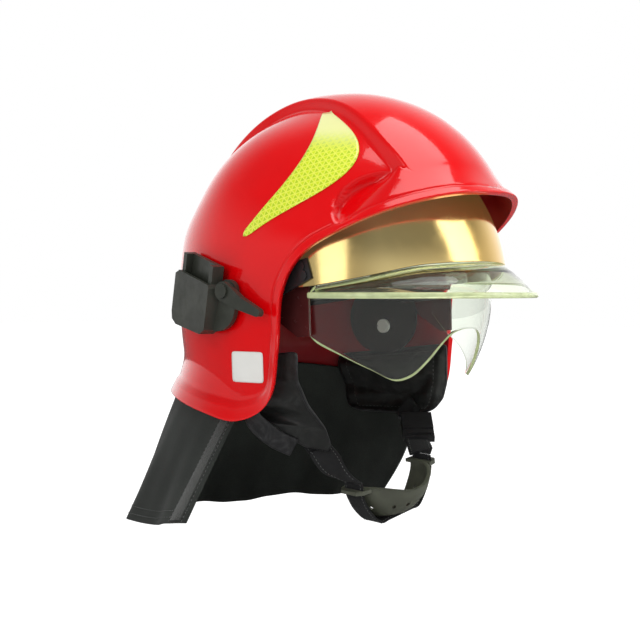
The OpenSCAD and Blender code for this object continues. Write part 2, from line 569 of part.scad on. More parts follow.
// Clear lip that stands out from the face shield's lower edge
module shield_lip() {
    n = 44;
    rim_h = 4.6;
    arc_end = 76;
    root_c = pivot_y - visor_off * cos(shield_low);
    function root(a, r, z) = [r * sin(a), root_c - (r * cos(a)) * cos(shield_low), z + r * cos(a) * sin(shield_low)
        + visor_off * sin(shield_low) + pivot_z - end_drop * sm(0.5, 1, abs(r * sin(a)) / shield_end_x)];
    tip_y = pivot_y - (visor_off + shield_r) * cos(shield_low) - lip_reach;
    tip_half = shield_end_x + 3;
    side_y = pivot_y - visor_off - 22;
    tip_r = (pow(tip_half, 2) + pow(side_y - tip_y, 2)) / (2 * (side_y - tip_y));
    tip_c = tip_y + tip_r;
    tip_end = atan2(tip_half, tip_c - side_y);
    tip_z = pivot_z + (visor_off + shield_r) * sin(shield_low) - lip_drop;
    function tip(a, grow, z) = let (b = a * tip_end / arc_end) [(tip_r + grow) * sin(b), tip_c - (tip_r + grow) * cos(b), tip_z + z];
    function ring(a) = let (o = root(a, shield_r, -seat - 0.15), i = root(a, shield_r - shield_t, -seat - 0.15), w = tip(a, 0, 0))
        [[i, o, mix(o, w, 0.35) + [0, 0, 1.2], mix(o, w, 0.9) + [0, 0, 0.6], tip(a, -0.6, rim_h / 2), tip(a, 1.4, rim_h / 3)],
            [i - [0, 0, shield_t], mix(i, o, 0.5) - [0, 0, shield_t + 0.4], mix(o, w, 0.35) - [0, 0, 1.4],
                mix(o, w, 0.9) - [0, 0, 1.9], tip(a, -0.6, -rim_h / 2), tip(a, 1.4, -rim_h / 3)]];
    angles = [for (k = [0 : n]) mix(arc_end, -arc_end, k / n)];
    color([0.8, 0.86, 0.74, 0.5]) sheet([for (a = angles) ring(a)[1]], [for (a = angles) ring(a)[0]]);
}

// Eye visor: clear lens with a notch for the nose
eye_outline = [[eye_end_x, 4], [eye_end_x - 0.6, -20], [eye_end_x - 3.5, -38], [81, -51], [66, -61], [51, -68.5],
    [41, -65.5], [34, -55], [27, -42], [19, -33], [9, -29.5], [0, -29]];
module eye_visor() {
    half = curve(eye_outline, [eye_end_x, 20], [-9, -29.5], 4);
    outline = concat([[eye_end_x, 22]], half, [for (i = [len(half) - 2 : -1 : 0]) [-half[i].x, half[i].y]],
        [[-eye_end_x, 22]]);
    color([0.8, 0.84, 0.78, 0.4]) intersection() {
        ring_part(eye_r, eye_t, eye_end_x, -45, 14);
        rotate([90, 0, 0]) linear_extrude(200) polygon(outline);
    }
}
module eye_arm() {
    color([0.22, 0.08, 0.08]) side_plate(eye_end_x + 0.2, eye_arm_t) difference() {
        hull() {
            circle(r = 13, $fn = 32);
            polygon([[-visor_off - 3, 11], [-visor_off - 13, 11], [-visor_off - 14.5, -34], [-visor_off - 3, -35]]);
        }
        circle(r = pin_r + fit_gap);
    }
}
module eye_arm_left() { eye_arm(); }
module eye_arm_right() { mirror([1, 0, 0]) eye_arm(); }

// Lamp bracket on the wearer's right, behind the ear
bracket_gap = 2.3;
bracket_at = [-outer(side_dir(34, -13)).x - bracket_gap, 34, -13];
module bracket_frame() { translate(bracket_at) rotate([0, 0, 70]) rotate([0, -14, 0]) children(); }
function bracket_point(p) = let (q = [p.x * cos(14) - p.z * sin(14), p.y, p.z * cos(14) + p.x * sin(14)])
    bracket_at + [q.x * cos(70) - q.y * sin(70), q.x * sin(70) + q.y * cos(70), q.z];
lever_y = 7;
lever_x = bracket_at.x - 9.6;
disc_r = 19;
disc_at = [lever_y + 11, -12];
module lamp_bracket() {
    body = [[-19, -13], [-12, -18], [30, -21], [37, -18], [39, -12], [39, 19], [34, 22], [34, 37], [-17, 37],
        [-17, 23], [-19, 20]];
    color([0.24, 0.25, 0.23]) difference() {
        union() {
            bracket_frame() rotate([90, 0, 0]) translate([0, 0, -bracket_t]) linear_extrude(bracket_t - 0.2)
                polygon(body);
            difference() {
                union() {
                    along_x(lever_x + 0.2, disc_at.x, disc_at.y) cylinder(r = disc_r, h = 4.4);
                    along_x(lever_x + 0.2, lever_y, pivot_z) cylinder(r = 9, h = 4.4);
                }
                bracket_frame() translate([-18.5, -8, -40]) cube([80, 48, 90]);
            }
        }
        along_x(lever_x - 30, lever_y, pivot_z) cylinder(r = 7.4 + run, h = 30.1);
        bracket_frame() translate([8.5 - slot_w / 2, (bracket_t - slot_t) / 2 + 0.5, -8]) cube([slot_w, slot_t, 60]);
        bracket_frame() translate([-40, bracket_t - 3.2, 22.5]) cube([100, 6, 30]);
        along_x(lever_x - 2, lever_y, pivot_z) cylinder(r = 3 + fit_gap, h = 12);
    }
}
// Moulded seat between the flat bracket and the curved shell
function on_shell(p, n, k = 0, a = -2, b = 30) = let (m = (a + b) / 2, q = p + n * m, d = unit(q - centre))
    k == 14 ? p + n * (a + b) / 2 : norm(q - centre) > norm(outer(d) - centre) + seat + 0.2
        ? on_shell(p, n, k + 1, m, b) : on_shell(p, n, k + 1, a, m);
module bracket_pad() {
    n = [sin(70), -cos(70), 0];
    flat = [for (z = [-15, -6, 4, 14, 23, 34]) [for (x = [36, 28, 18, 9, 0, -8]) bracket_point([min(x, z > 30 ? 32 : 36), 0, z])]];
    color([0.1, 0.1, 0.1]) sheet([for (r = flat) [for (p = r) on_shell(p, n)]], flat);
}
module lamp_lever() {
    tip = [-lever_l * cos(25), -lever_l * sin(25)];
    color([0.26, 0.27, 0.25]) along_x(lever_x - 0.2, lever_y, pivot_z) mirror([0, 0, 1]) difference() {
        linear_extrude(5.4) rotate([0, 0, 0]) difference() {
            union() {
                circle(r = 7.4);
                hull() {
                    circle(r = 7.4, $fn = 32);
                    translate([-tip.y * 0.45 + 1.5, tip.x * 0.45]) circle(r = 5.2, $fn = 32);
                }
                hull() {
                    translate([-tip.y * 0.45 + 1.5, tip.x * 0.45]) circle(r = 5.2, $fn = 32);
                    translate([-tip.y, tip.x]) circle(r = 3.2, $fn = 32);
                }
            }
            circle(r = 3 + fit_gap);
        }
    }
}
module lever_pin() {
    color([0.5, 0.5, 0.48]) {
        along_x(lever_x - 5.2 - 0.8 - 1.6, lever_y, pivot_z) cylinder(r = 5.5, h = 1.6);
        along_x(lever_x - 6.2, lever_y, pivot_z) cylinder(r = 3, h = 10.4);
    }
}

// Neck curtain: fastened inside the neck rim, flaring out to its hem
hem_y = 43;
hem_l = 148;
curtain_rows = 8;
curtain_cols = 20;
function curtain_top(s) = let (x = mix(24, lip_n, s), i = min(lip_n - 1, floor(x)),
    e = unit(mix(lip_dir[i], lip_dir[i + 1], x - i)), d = slerp(pole, e, 0.935)) inner(d, seat + 1.8);
function curtain_hem(s) = let (a = 90 * s) [hem_half_w * cos(a), hem_y + hem_l * sin(a), mix(-182, hem_z, sin(a))];
// u runs from the front edge on the wearer's right (-1) round the nape (0) to the left (1)
function curtain_point(u, v, off) = let (s = 1 - abs(u), t = curtain_top(s), h = curtain_hem(s), p = mix(t, h, v),
    out = unit([cos(90 * s), sin(90 * s), 0.35]), wave = fold_h * v * v * sin(s * 900 + 60),
    q = p + out * (wave + off + 5 * v * (1 - v))) [u < 0 ? -q.x : q.x, q.y, q.z];
module neck_curtain() {
    us = [for (k = [0 : 2 * curtain_cols]) k / curtain_cols - 1];
    vs = [for (k = [0 : curtain_rows]) k / curtain_rows];
    color([0.13, 0.14, 0.13]) sheet([for (v = vs) [for (u = us) curtain_fix(u, v, -cloth_t)]],
        [for (v = vs) [for (u = us) curtain_fix(u, v, 0)]]);
}
function curtain_fix(u, v, off) = abs(u) < 0.001 ? let (p = curtain_point(0, v, off)) [0, p.y, p.z]
    : curtain_point(u, v, off);
// Loop tape along both front edges of the curtain
module curtain_tape() {
    us = [0.93, 0.965, 0.995];
    vs = [for (k = [0 : 6]) mix(0.2, 0.99, k / 6)];
    color([0.16, 0.17, 0.16]) for (s = [1, -1]) sheet([for (v = vs) [for (u = us) curtain_point(s * (s > 0 ? u : 1.925 - u), v, seat)]],
        [for (v = vs) [for (u = us) curtain_point(s * (s > 0 ? u : 1.925 - u), v, seat + 1)]]);
}

// Chin strap: webbing from each lobe to the ends of the cup
cup_at = [0, -50, -148];
cup_roll = -12;
module cup_frame() { translate(cup_at) rotate([cup_pitch, cup_roll, cup_yaw]) children(); }
function cup_point(v) =
    let (p = [v.x, v.y * cos(cup_pitch) - v.z * sin(cup_pitch), v.y * sin(cup_pitch) + v.z * cos(cup_pitch)],
    q = [p.x * cos(cup_roll) + p.z * sin(cup_roll), p.y, p.z * cos(cup_roll) - p.x * sin(cup_roll)])
    cup_at + [q.x * cos(cup_yaw) - q.y * sin(cup_yaw), q.x * sin(cup_yaw) + q.y * cos(cup_yaw), q.z];
strap_mid = -8;
strap_end_r = cup_point([-cup_r - 2.7, strap_mid, 7]);
strap_end_l = cup_point([cup_r + 2.7, strap_mid, 7]);
function level(v) = unit([-v.y, v.x, 0]);
// A strap starts on the inner face of its pad's tab
function tab_v(side) = side > 0 ? 0.16 : 0.5;
function tab_in(side, u, lift = 1.7) =
    let (p = pad_point(side, u, tab_v(side), 1), q = pad_point(side, u, tab_v(side), 0))
    pad_side(side, p + unit(p - q) * (seat + lift + web_t / 2));
function tab_across(side) = unit(pad_side(side, pad_point(side, 1, 1, 1) - pad_point(side, 1, 0, 1)));
cup_axis = cup_point([0, 1, 0]) - cup_at;
module chin_strap_right() {
    a = tab_in(-1, 0.96, 1.9);
    b = tab_in(-1, 1.03, 2.4);
    path = concat([a], [for (k = [0 : 7]) let (t = k / 7) mix(b, strap_end_r, t) + [-3, -1, -2] * 4 * t * (1 - t)]);
    across = concat([tab_across(-1)],
        [for (k = [0 : 7]) unit(mix(tab_across(-1), cup_axis, sm(0, 1, k / 7)))]);
    color([0.1, 0.1, 0.1]) webbing(path, across, web_w, web_t, cup_axis);
}
buckle_l = 26;
buckle_share = 0.3;
strap_top_l = tab_in(1, 1);
strap_dir = unit(strap_end_l - strap_top_l);
buckle_at = mix(strap_top_l, strap_end_l, buckle_share);
tongue_l = 14;
module chin_strap_left() {
    top_end = buckle_at - strap_dir * (buckle_l / 2 + seat);
    low_start = buckle_at + strap_dir * (buckle_l / 2 + tongue_l + seat);
    flat = level(strap_dir) * sign(level(strap_dir) * tab_across(1));
    into = pad_n(1) * (pad_n(1).x > 0 ? -1 : 1);
    slide = unit(strap_dir - into * (strap_dir * into));
    across = unit(cross(slide, into));
    color([0.1, 0.1, 0.1]) {
        webbing([strap_top_l - slide * 8, strap_top_l, mix(strap_top_l, top_end, 0.5), top_end],
            [across, across, unit(across + flat), flat], web_w, web_t);
        webbing([for (k = [0 : 4]) mix(low_start, strap_end_l, k / 4)],
            [for (k = [0 : 4]) unit(mix(flat, cup_axis, sm(0, 1, k / 4)))], web_w, web_t, cup_axis);
    }
}
// Leather strap from the right lobe to the chin strap
nape_strap_t = 1.8;
module nape_strap_right() {
    path = curve([[3 - wall_x, -4, -90], [6 - wall_x, -8, -101], [21.3 - wall_x, -13.4, -114.3],
        [36 - wall_x, -21.3, -122.4]],
        [2 - wall_x, -2, -80], [50 - wall_x, -30, -130], 3);
    n = len(path) - 1;
    across = [for (k = [0 : n]) unit(mix([0, 1, -0.1], [-0.4, 0.5, -0.77], sm(0, 0.6, k / n)))];
    color([0.2, 0.2, 0.2]) webbing(path, across, 15, nape_strap_t);
}
module cup_strap() {
    edge = [[cup_r + 2.7, 5.9], [cup_r + 2.6, -3], [cup_r + 0.6, -cup_h * 0.32],
        [cup_r - 5, -cup_h * 0.66], [cup_r - 15.5, -cup_h - 0.9], [14, -cup_h - 1.4]];
    half = curve(edge, [cup_r + 2.7, 12], [0, -cup_h - 1.4], 2);
    path = concat(half, [[0, -cup_h - 1.4]], [for (i = [len(half) - 1 : -1 : 0]) [-half[i].x, half[i].y]]);
    color([0.07, 0.07, 0.07]) webbing([for (p = path) cup_point([p.x, strap_mid, p.y])],
        [for (p = path) cup_axis], web_w, web_t);
}
module chin_cup() {
    outside = [[cup_r, 2], [cup_r + 1.4, 0], [cup_r, -2], [cup_r - 1.5, -cup_h * 0.3],
        [cup_r - 7, -cup_h * 0.65], [cup_r - 17, -cup_h]];
    inside = [[cup_r - 18, -cup_h + 2.2], [cup_r - 9.5, -cup_h * 0.6], [cup_r - 4, -cup_h * 0.28],
        [cup_r - 2.4, 0], [cup_r - 2.2, 2]];
    slot_x = cup_r + 2.7;
    saddle_r = (pow(cup_r - 5, 2) + pow(cup_dip, 2)) / 2 / cup_dip;
    color([0.35, 0.36, 0.3]) cup_frame() {
        difference() {
            rotate([0, 0, 180]) rotate_extrude(angle = 180, $fn = 96) polygon(concat(outside, inside));
            translate([0, 50, saddle_r - cup_dip]) rotate([90, 0, 0]) cylinder(r = saddle_r, h = 150, $fn = 96);
            for (a = [203, 236, 257, 283, 304, 337]) rotate([0, 0, a]) translate([cup_r - 14, 0, -cup_h * 0.66])
                rotate([0, 90, 0]) cylinder(r = 1.8, h = 20, $fn = 24);
        }
        // Ears with a slot that the webbing runs through
        for (s = [0, 1]) mirror([s, 0, 0]) difference() {
            hull() {
                translate([cup_r - 5, strap_mid - web_w / 2 - 4, -1.2]) cube([8, web_w + 8, 2.4]);
                translate([cup_r + ear_l - 5, strap_mid - web_w / 2 + 2, -1.2]) cube([5, web_w - 4, 2.4]);
            }
            translate([0, 0, -3]) cylinder(r = cup_r - 1.2, h = 6, $fn = 96);
            translate([slot_x - web_t / 2 - run, strap_mid - web_w / 2 - run, -3])
                cube([web_t + 2 * run, web_w + 2 * run, 6]);
        }
    }
}

// Push button buckle on the wearer's left strap
module buckle_frame() {
    u = -strap_dir;
    translate(buckle_at) rotate([0, acos(u.z), atan2(u.y, u.x)]) children();
}
button_r = 5;
module buckle_body() {
    color([0.12, 0.12, 0.12]) buckle_frame() difference() {
        translate([-4, -13, -buckle_l / 2]) cube([9, 26, buckle_l]);
        translate([-2 - run, -9 - run, -buckle_l / 2 - 1]) cube([4 + 2 * run, 18 + 2 * run, 20]);
        translate([0, 0, -2]) rotate([0, 90, 0]) cylinder(r = button_r + run, h = 10);
    }
}
module buckle_tongue() {
    color([0.18, 0.18, 0.18]) buckle_frame() {
        translate([-2, -9, -buckle_l / 2 - 3]) cube([4, 18, 8]);
        difference() {
            translate([-2.5, -13, -buckle_l / 2 - tongue_l]) cube([5, 26, tongue_l - run]);
            translate([-4, -10.5, -buckle_l / 2 - tongue_l + 3]) cube([8, 21, 4]);
        }
    }
}
module buckle_button() {
    color([0.75, 0.1, 0.08]) buckle_frame() translate([4.2, 0, -2]) rotate([0, 90, 0]) cylinder(r = button_r, h = 2.4);
}

outer_shell();
film_right();
film_left();
side_label();
impact_liner();
liner_crown();
headband();
brow_pad();
crown_strap_long();
crown_strap_cross();
band_mounts();
ratchet_housing();
ratchet_knob();
nape_pad();
cheek_pad_right();
cheek_pad_left();
ear_plate_right();
ear_plate_left();
plate_screws();
visor_pivots();
pivot_spacers();
pivot_screws();
face_shield();
shield_lip();
shield_arm_right();
shield_arm_left();
shield_rivets();
eye_visor();
eye_arm_right();
eye_arm_left();
lamp_bracket();
bracket_pad();
lamp_lever();
lever_pin();
neck_curtain();
curtain_tape();
chin_strap_right();
chin_strap_left();
nape_strap_right();
chin_cup();
cup_strap();
buckle_body();
buckle_tongue();
buckle_button();
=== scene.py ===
"""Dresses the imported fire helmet: paint, film, visors, harness, straps and neck curtain."""

import math

import bmesh
import bpy
import numpy as np
from mathutils import Matrix, Vector, noise


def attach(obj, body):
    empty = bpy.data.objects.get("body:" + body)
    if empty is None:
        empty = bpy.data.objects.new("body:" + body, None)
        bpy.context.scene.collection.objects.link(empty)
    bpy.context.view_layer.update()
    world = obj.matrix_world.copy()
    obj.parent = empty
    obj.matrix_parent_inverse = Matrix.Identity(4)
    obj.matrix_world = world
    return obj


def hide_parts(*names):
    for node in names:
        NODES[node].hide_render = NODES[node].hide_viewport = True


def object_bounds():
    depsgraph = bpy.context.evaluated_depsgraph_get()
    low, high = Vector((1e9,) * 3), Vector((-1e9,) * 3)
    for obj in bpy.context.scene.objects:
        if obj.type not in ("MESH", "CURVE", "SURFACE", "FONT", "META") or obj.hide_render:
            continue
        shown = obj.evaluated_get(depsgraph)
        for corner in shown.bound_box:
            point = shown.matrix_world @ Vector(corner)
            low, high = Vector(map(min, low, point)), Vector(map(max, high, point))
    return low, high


bl_info = {
    "name": "Fire helmet",
    "version": (1, 0, 0),
    "blender": (4, 5, 0),
    "location": "View3D > Sidebar > Helmet",
    "description": "Builds the finished surfaces of a fire helmet round its packed frame",
    "category": "Object",
}

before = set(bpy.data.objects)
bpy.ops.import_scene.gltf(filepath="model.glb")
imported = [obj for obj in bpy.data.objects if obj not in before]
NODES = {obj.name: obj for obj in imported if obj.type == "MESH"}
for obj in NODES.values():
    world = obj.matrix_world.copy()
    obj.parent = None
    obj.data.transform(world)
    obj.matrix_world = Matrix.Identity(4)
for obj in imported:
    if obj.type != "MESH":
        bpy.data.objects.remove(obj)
CAD_BOX = [list(c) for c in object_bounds()]

# Sizes in millimetres, the same as in the part's source unless a comment says otherwise.
# Dome: middle, half sizes, power of its curve, depth below its middle, less at the nape, and wall
CENTRE = np.array([0.0, -15.0, 0.0])
HALF_W, HALF_L, HEIGHT, POWER = 117.0, 148.0, 161.0, 2.15
DEPTH, DEPTH_LESS, WALL = 330.0, 140.0, 4.0
# The shell's edge on the left, from the brim to the nape, and how far its flare reaches up
LIP = [(0, -161, 75), (42, -150, 73), (80, -124.5, 63), (104, -94, 48), (114, -61, 29),
       (118, -43, 0), (119, -39, -45), (119.5, -31, -84), (121, 0, -99.5), (116, 42, -94),
       (96, 88, -86), (56, 127, -81), (0, 142, -80)]
LIP_BAND, LIP_BAND_FRONT, LIP_BAND_BACK = 13, 17, 12
# Steps between two points of the edge, more than in the source
LIP_FINE = 20
# The direction from which the shell's rows of points spread
POLE = np.array([1.0, 0.22, 0.5]) / np.linalg.norm([1.0, 0.22, 0.5])
# Crest: the point round which its angle is measured, and half its width
CREST_Y, CREST_Z = -15.0, 20.0
CREST_BACK, CREST_FRONT = 27.0, 60.0
# Side panels and the scoop in front of them, with its ends in y and z. The source's scoop is 4 mm deep
PANEL_DEEP, SCOOP_DEEP = 8.5, 7.0
SCOOP_TOP, SCOOP_END = np.array([-107.5, 97.5]), np.array([-80.0, 50.0])
# Visors: hinge axis, distance from it to the middle of their arcs, half width, radius and thickness
PIVOT_Y, VISOR_OFF = -10.0, 30.0
SHIELD_X, SHIELD_R, SHIELD_T = 106.2, 109.2, 2.5
EYE_R, EYE_T = 97.2, 2.5
# The face shield's lower edge, in degrees above the pivots, with its drop at the ends, and the clear lip
SHIELD_LOW, END_DROP, LIP_REACH, LIP_DROP, LIP_END = 9.5, 5.0, 29.0, 26.0, 76.0
# Headband, and height and tilt of the harness
BAND_W, BAND_L, BAND_T = 75.0, 94.0, 2.0
HEAD_Z, HEAD_TILT = 12.0, 10.0
# The bead by distance from the shell's edge: flank, groove behind it and rounding. The source has none
FLANK_FROM, FLANK_TO = 6.2, 7.6
GROOVE_AT, GROOVE_WIDE, GROOVE_DEEP = 8.2, 0.9, 0.8
ROUND_WIDE, ROUND_DEEP = 1.4, 1.3


# Mesh helpers
def unit(v):
    """Vectors brought to length 1."""
    v = np.asarray(v, float)
    return v / np.linalg.norm(v, axis=-1, keepdims=True)


def sm(a, b, x):
    """A smooth step from 0 at a to 1 at b."""
    t = np.clip((np.asarray(x, float) - a) / (b - a), 0, 1)
    return t * t * (3 - 2 * t)


def mix(a, b, t):
    """The value a share t of the way from a to b."""
    return np.asarray(a, float) * (1 - t) + np.asarray(b, float) * t


def spline(points, steps, before=None, after=None):
    """A smooth curve through points, with steps samples between each pair."""
    p = np.asarray(points, float)
    first = 2 * p[0] - p[1] if before is None else np.asarray(before, float)
    last = 2 * p[-1] - p[-2] if after is None else np.asarray(after, float)
    q = np.vstack([first, p, last])
    out = []
    for i in range(1, len(p)):
        a, b, c, d = q[i - 1:i + 3]
        for k in range(steps):
            t = k / steps
            out.append(0.5 * (2 * b + (c - a) * t + (2 * a - 5 * b + 4 * c - d) * t ** 2
                              + (3 * b - a - 3 * c + d) * t ** 3))
    return np.vstack([out, p[-1]])


def mirror_x(p):
    """Points mirrored from one side of the wearer to the other."""
    return np.asarray(p, float) * (-1, 1, 1)


def make_object(name, verts, faces, material=None, smooth=True, uv=None, second=None, second_faces=()):
    """A mesh object from points in millimetres; its place is in its mesh."""
    mesh = bpy.data.meshes.new(name)
    mesh.from_pydata((np.asarray(verts, float) * 0.001).tolist(), [], faces)
    mesh.update()
    if uv is not None:
        layer = mesh.uv_layers.new(name="UVMap")
        idx = np.zeros(len(mesh.loops), np.int32)
        mesh.loops.foreach_get("vertex_index", idx)
        layer.data.foreach_set("uv", np.asarray(uv, np.float32)[idx].ravel())
    mesh.polygons.foreach_set("use_smooth", [smooth] * len(mesh.polygons))
    obj = bpy.data.objects.new(name, mesh)
    bpy.context.scene.collection.objects.link(obj)
    if material is not None:
        mesh.materials.append(material)
    if second is not None:
        mesh.materials.append(second)
        for i in second_faces:
            mesh.polygons[i].material_index = 1
    return obj


def finished(obj, body, nodes):
    """Hands a piece over to the frame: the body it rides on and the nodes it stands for."""
    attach(obj, body)
    if nodes:
        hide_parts(*nodes)
    return obj


def grid_faces(rows, cols, start=0, flip=False, close_rows=False, close_cols=False):
    """Quads of a grid of points; they face out where its rows run down and its columns to the right."""
    out = []
    for i in range(rows if close_rows else rows - 1):
        for j in range(cols if close_cols else cols - 1):
            a = start + i * cols + j
            b = start + i * cols + (j + 1) % cols
            c = start + (i + 1) % rows * cols + (j + 1) % cols
            d = start + (i + 1) % rows * cols + j
            out.append((a, b, c, d) if flip else (a, d, c, b))
    return out


def shell_of(outside, inside):
    """Points and quads of a closed sheet between two grids; outside faces the viewer."""
    rows, cols = outside.shape[:2]
    n = rows * cols
    faces = grid_faces(rows, cols) + grid_faces(rows, cols, n, flip=True)
    loop = ([(0, j) for j in range(cols)] + [(i, cols - 1) for i in range(1, rows)]
            + [(rows - 1, j) for j in range(cols - 2, -1, -1)]
            + [(i, 0) for i in range(rows - 2, 0, -1)])
    ring = [i * cols + j for i, j in loop]
    for a, b in zip(ring, ring[1:] + ring[:1]):
        faces.append((a, b, b + n, a + n))
    return np.vstack([outside.reshape(-1, 3), inside.reshape(-1, 3)]), faces


def fix_normals(obj):
    """Makes a closed mesh's faces point outwards."""
    bm = bmesh.new()
    bm.from_mesh(obj.data)
    bmesh.ops.remove_doubles(bm, verts=bm.verts, dist=1e-6)
    bmesh.ops.recalc_face_normals(bm, faces=bm.faces)
    if bm.calc_volume(signed=True) < 0:
        bmesh.ops.reverse_faces(bm, faces=bm.faces)
    bm.to_mesh(obj.data)
    bm.free()
    return obj


def apply_modifiers(obj):
    """Bakes the modifiers of an object into a plain mesh."""
    dg = bpy.context.evaluated_depsgraph_get()
    dg.update()
    old = obj.data
    mesh = bpy.data.meshes.new_from_object(obj.evaluated_get(dg), depsgraph=dg)
    obj.modifiers.clear()
    obj.data = mesh
    bpy.data.meshes.remove(old)
    return obj


def bevel(obj, width, segments=2, angle=35):
    """Gives an object a bevel, in millimetres, on edges sharper than angle degrees."""
    b = obj.modifiers.new("edge", "BEVEL")
    b.width, b.segments, b.limit_method = width * 0.001, segments, "ANGLE"
    b.angle_limit = math.radians(angle)


def soften(obj, width, segments=2, angle=35):
    """Rounds an object's sharp edges for good."""
    bevel(obj, width, segments, angle)
    return apply_modifiers(obj)


def carried_sides(tangent):
    """A side direction at each point of a path, turned as little as possible on the way."""
    side = np.empty_like(tangent)
    ref = np.array([0, 0, 1.0]) if abs(tangent[0][2]) < 0.9 else np.array([1.0, 0, 0])
    side[0] = unit(np.cross(tangent[0], ref))
    for i in range(1, len(tangent)):
        side[i] = unit(side[i - 1] - tangent[i] * (side[i - 1] @ tangent[i]))
    return side


def sweep(name, path, profile, material, across=None, closed=False, cut=None):
    """A profile (x along across, y out of the face) carried along a path; cut turns its last section."""
    path, prof = np.asarray(path, float), np.asarray(profile, float)
    n, m = len(path), len(prof)
    if closed:
        tangent = unit(np.roll(path, -1, 0) - np.roll(path, 1, 0))
    else:
        tangent = np.empty_like(path)
        tangent[1:-1] = unit(path[2:] - path[:-2])
        tangent[0], tangent[-1] = unit(path[1] - path[0]), unit(path[-1] - path[-2])
    if across is None:
        side = carried_sides(tangent)
    else:
        a = np.broadcast_to(np.asarray(across, float), path.shape)
        side = unit(a - tangent * np.sum(a * tangent, 1, keepdims=True))
    out = np.cross(side, tangent)
    if cut is not None:
        side[-1] = cut
    verts = path[:, None] + side[:, None] * prof[None, :, :1] + out[:, None] * prof[None, :, 1:2]
    faces = grid_faces(n, m, close_rows=closed, close_cols=True)
    if not closed:
        faces += [tuple(range(m)), tuple(range((n - 1) * m + m - 1, (n - 1) * m - 1, -1))]
    s = np.r_[0, np.cumsum(np.linalg.norm(np.diff(path, axis=0), axis=1))]
    uv = np.stack([np.broadcast_to(prof[None, :, 0], (n, m)),
                   np.broadcast_to(s[:, None], (n, m))], -1).reshape(-1, 2) * 0.001
    return make_object(name, verts.reshape(-1, 3), faces, material, uv=uv)


def wrinkle(points, size, height, seed):
    """Soft creases: how far each point moves, from smooth noise of a given size."""
    return np.array([height * noise.fractal(Vector(q) / size + Vector((seed, seed, seed)), 1.0, 2.0, 3)
                     for q in np.asarray(points, float)])


def round_profile(r, sides):
    """A round section's points."""
    return [(r * math.cos(2 * math.pi * k / sides), r * math.sin(2 * math.pi * k / sides))
            for k in range(sides)]


def strap_profile(w, t):
    """A webbing's section, with rounded edges."""
    xs = [w / 2 * math.sin(a) for a in np.linspace(-math.pi / 2, math.pi / 2, 9)]
    up = [(x, t / 2 * (1 - (2 * x / w) ** 8) ** 0.5) for x in xs]
    return up + [(x, -y) for x, y in reversed(up[1:-1])]


# The shell's surface
lip_curve = spline(LIP, LIP_FINE, mirror_x(LIP[1]), mirror_x(LIP[11]))


def dome_r(d):
    """The dome's radius in directions d."""
    tall = np.where(d[:, 2] > 0, HEIGHT, DEPTH - DEPTH_LESS * sm(0.2, 0.9, d[:, 1]))
    return (np.abs(d[:, 0] / HALF_W) ** POWER + np.abs(d[:, 1] / HALF_L) ** POWER
            + np.abs(d[:, 2] / tall) ** POWER) ** (-1 / POWER)


lip_dir = unit(lip_curve - CENTRE)
lip_push = lip_curve - CENTRE - lip_dir * dome_r(lip_dir)[:, None]
lip_width = (LIP_BAND + LIP_BAND_FRONT * sm(-60, -110, lip_curve[:, 1])
             + LIP_BAND_BACK * sm(0, 60, lip_curve[:, 1]))


def crest_angle(p):
    """Angle over the head, in degrees: 0 in front, 90 on top and 180 behind."""
    return np.degrees(np.arctan2(p[:, 2] - CREST_Z, CREST_Y - p[:, 1]))


def crest_w(p):
    """Half the crest's width."""
    return mix(CREST_BACK, CREST_FRONT, sm(115, 45, crest_angle(p)))


def let_in(p):
    """How far the surface lies below the dome: side panels and the hollows in front of them."""
    along = SCOOP_END - SCOOP_TOP
    length = np.linalg.norm(along)
    along = along / length
    q = np.abs(p[:, 0]) - crest_w(p)
    v = p[:, 1:] - SCOOP_TOP
    t = v @ along / length
    h = v[:, 0] * along[1] - v[:, 1] * along[0]
    bow = np.maximum(0, 4 * t * (1 - t))
    back, front = -15 * bow, 14 * bow + 6
    panel = PANEL_DEEP * sm(0, 6, q) * sm(75, 15, q) * sm(185, 150, crest_angle(p)) * sm(35, 80, p[:, 2])
    past = np.where(t < 0, 0, sm(0, 1, (h - back) / 6))
    rise = 1 - sm(0, 1, (h - back - 5) / np.maximum(front - back - 5, 1e-6))
    inside = np.where((t > 0) & (t < 1), (panel + SCOOP_DEEP * np.minimum(1, 2 * bow)) * rise, 0)
    return panel * (1 - past) + inside * past


def edge_lift(x, bead):
    """How far the outer face rises at x millimetres from the shell's edge: bead, groove and rounded edge."""
    lift = bead * sm(FLANK_TO, FLANK_FROM, x) - GROOVE_DEEP * np.exp(-((x - GROOVE_AT) / GROOVE_WIDE) ** 2)
    in_round = 1 - np.clip(x / ROUND_WIDE, 0, 1)
    return lift - ROUND_DEEP * (1 - np.sqrt(np.clip(1 - in_round ** 2, 0, 1)))


def outer_half(d, bead=0.0):
    """Points of the shell's outer face in directions d on the wearer's left half, worked out in batches."""
    out = np.empty_like(d)
    batch = 4000
    for s in range(0, len(d), batch):
        e = d[s:s + batch]
        r = dome_r(e)
        p = CENTRE + e * r[:, None]
        a = np.arccos(np.clip(e @ lip_dir.T, -1, 1))
        m = a.min(1)
        w = np.exp(-3 * (a / (m[:, None] + 0.06)) ** 2)
        w /= w.sum(1, keepdims=True)
        f = np.maximum(0, 1 - m * r / (w @ lip_width)) ** 2
        q = p - e * let_in(p)[:, None] + (w @ lip_push) * f[:, None]
        out[s:s + batch] = q + e * edge_lift(m * r, bead)[:, None] if bead else q
    return out


def outer(d, off):
    """Points of the shell's outer face, off millimetres out along each direction."""
    side = np.where(d[:, :1] < 0, -1.0, 1.0)
    flip = np.hstack([side, np.ones((len(d), 2))])
    e = d * flip
    return (outer_half(e) + e * off) * flip


def inner(d, off):
    """Points off millimetres in from the shell's inner face."""
    return outer(d, -WALL - off)


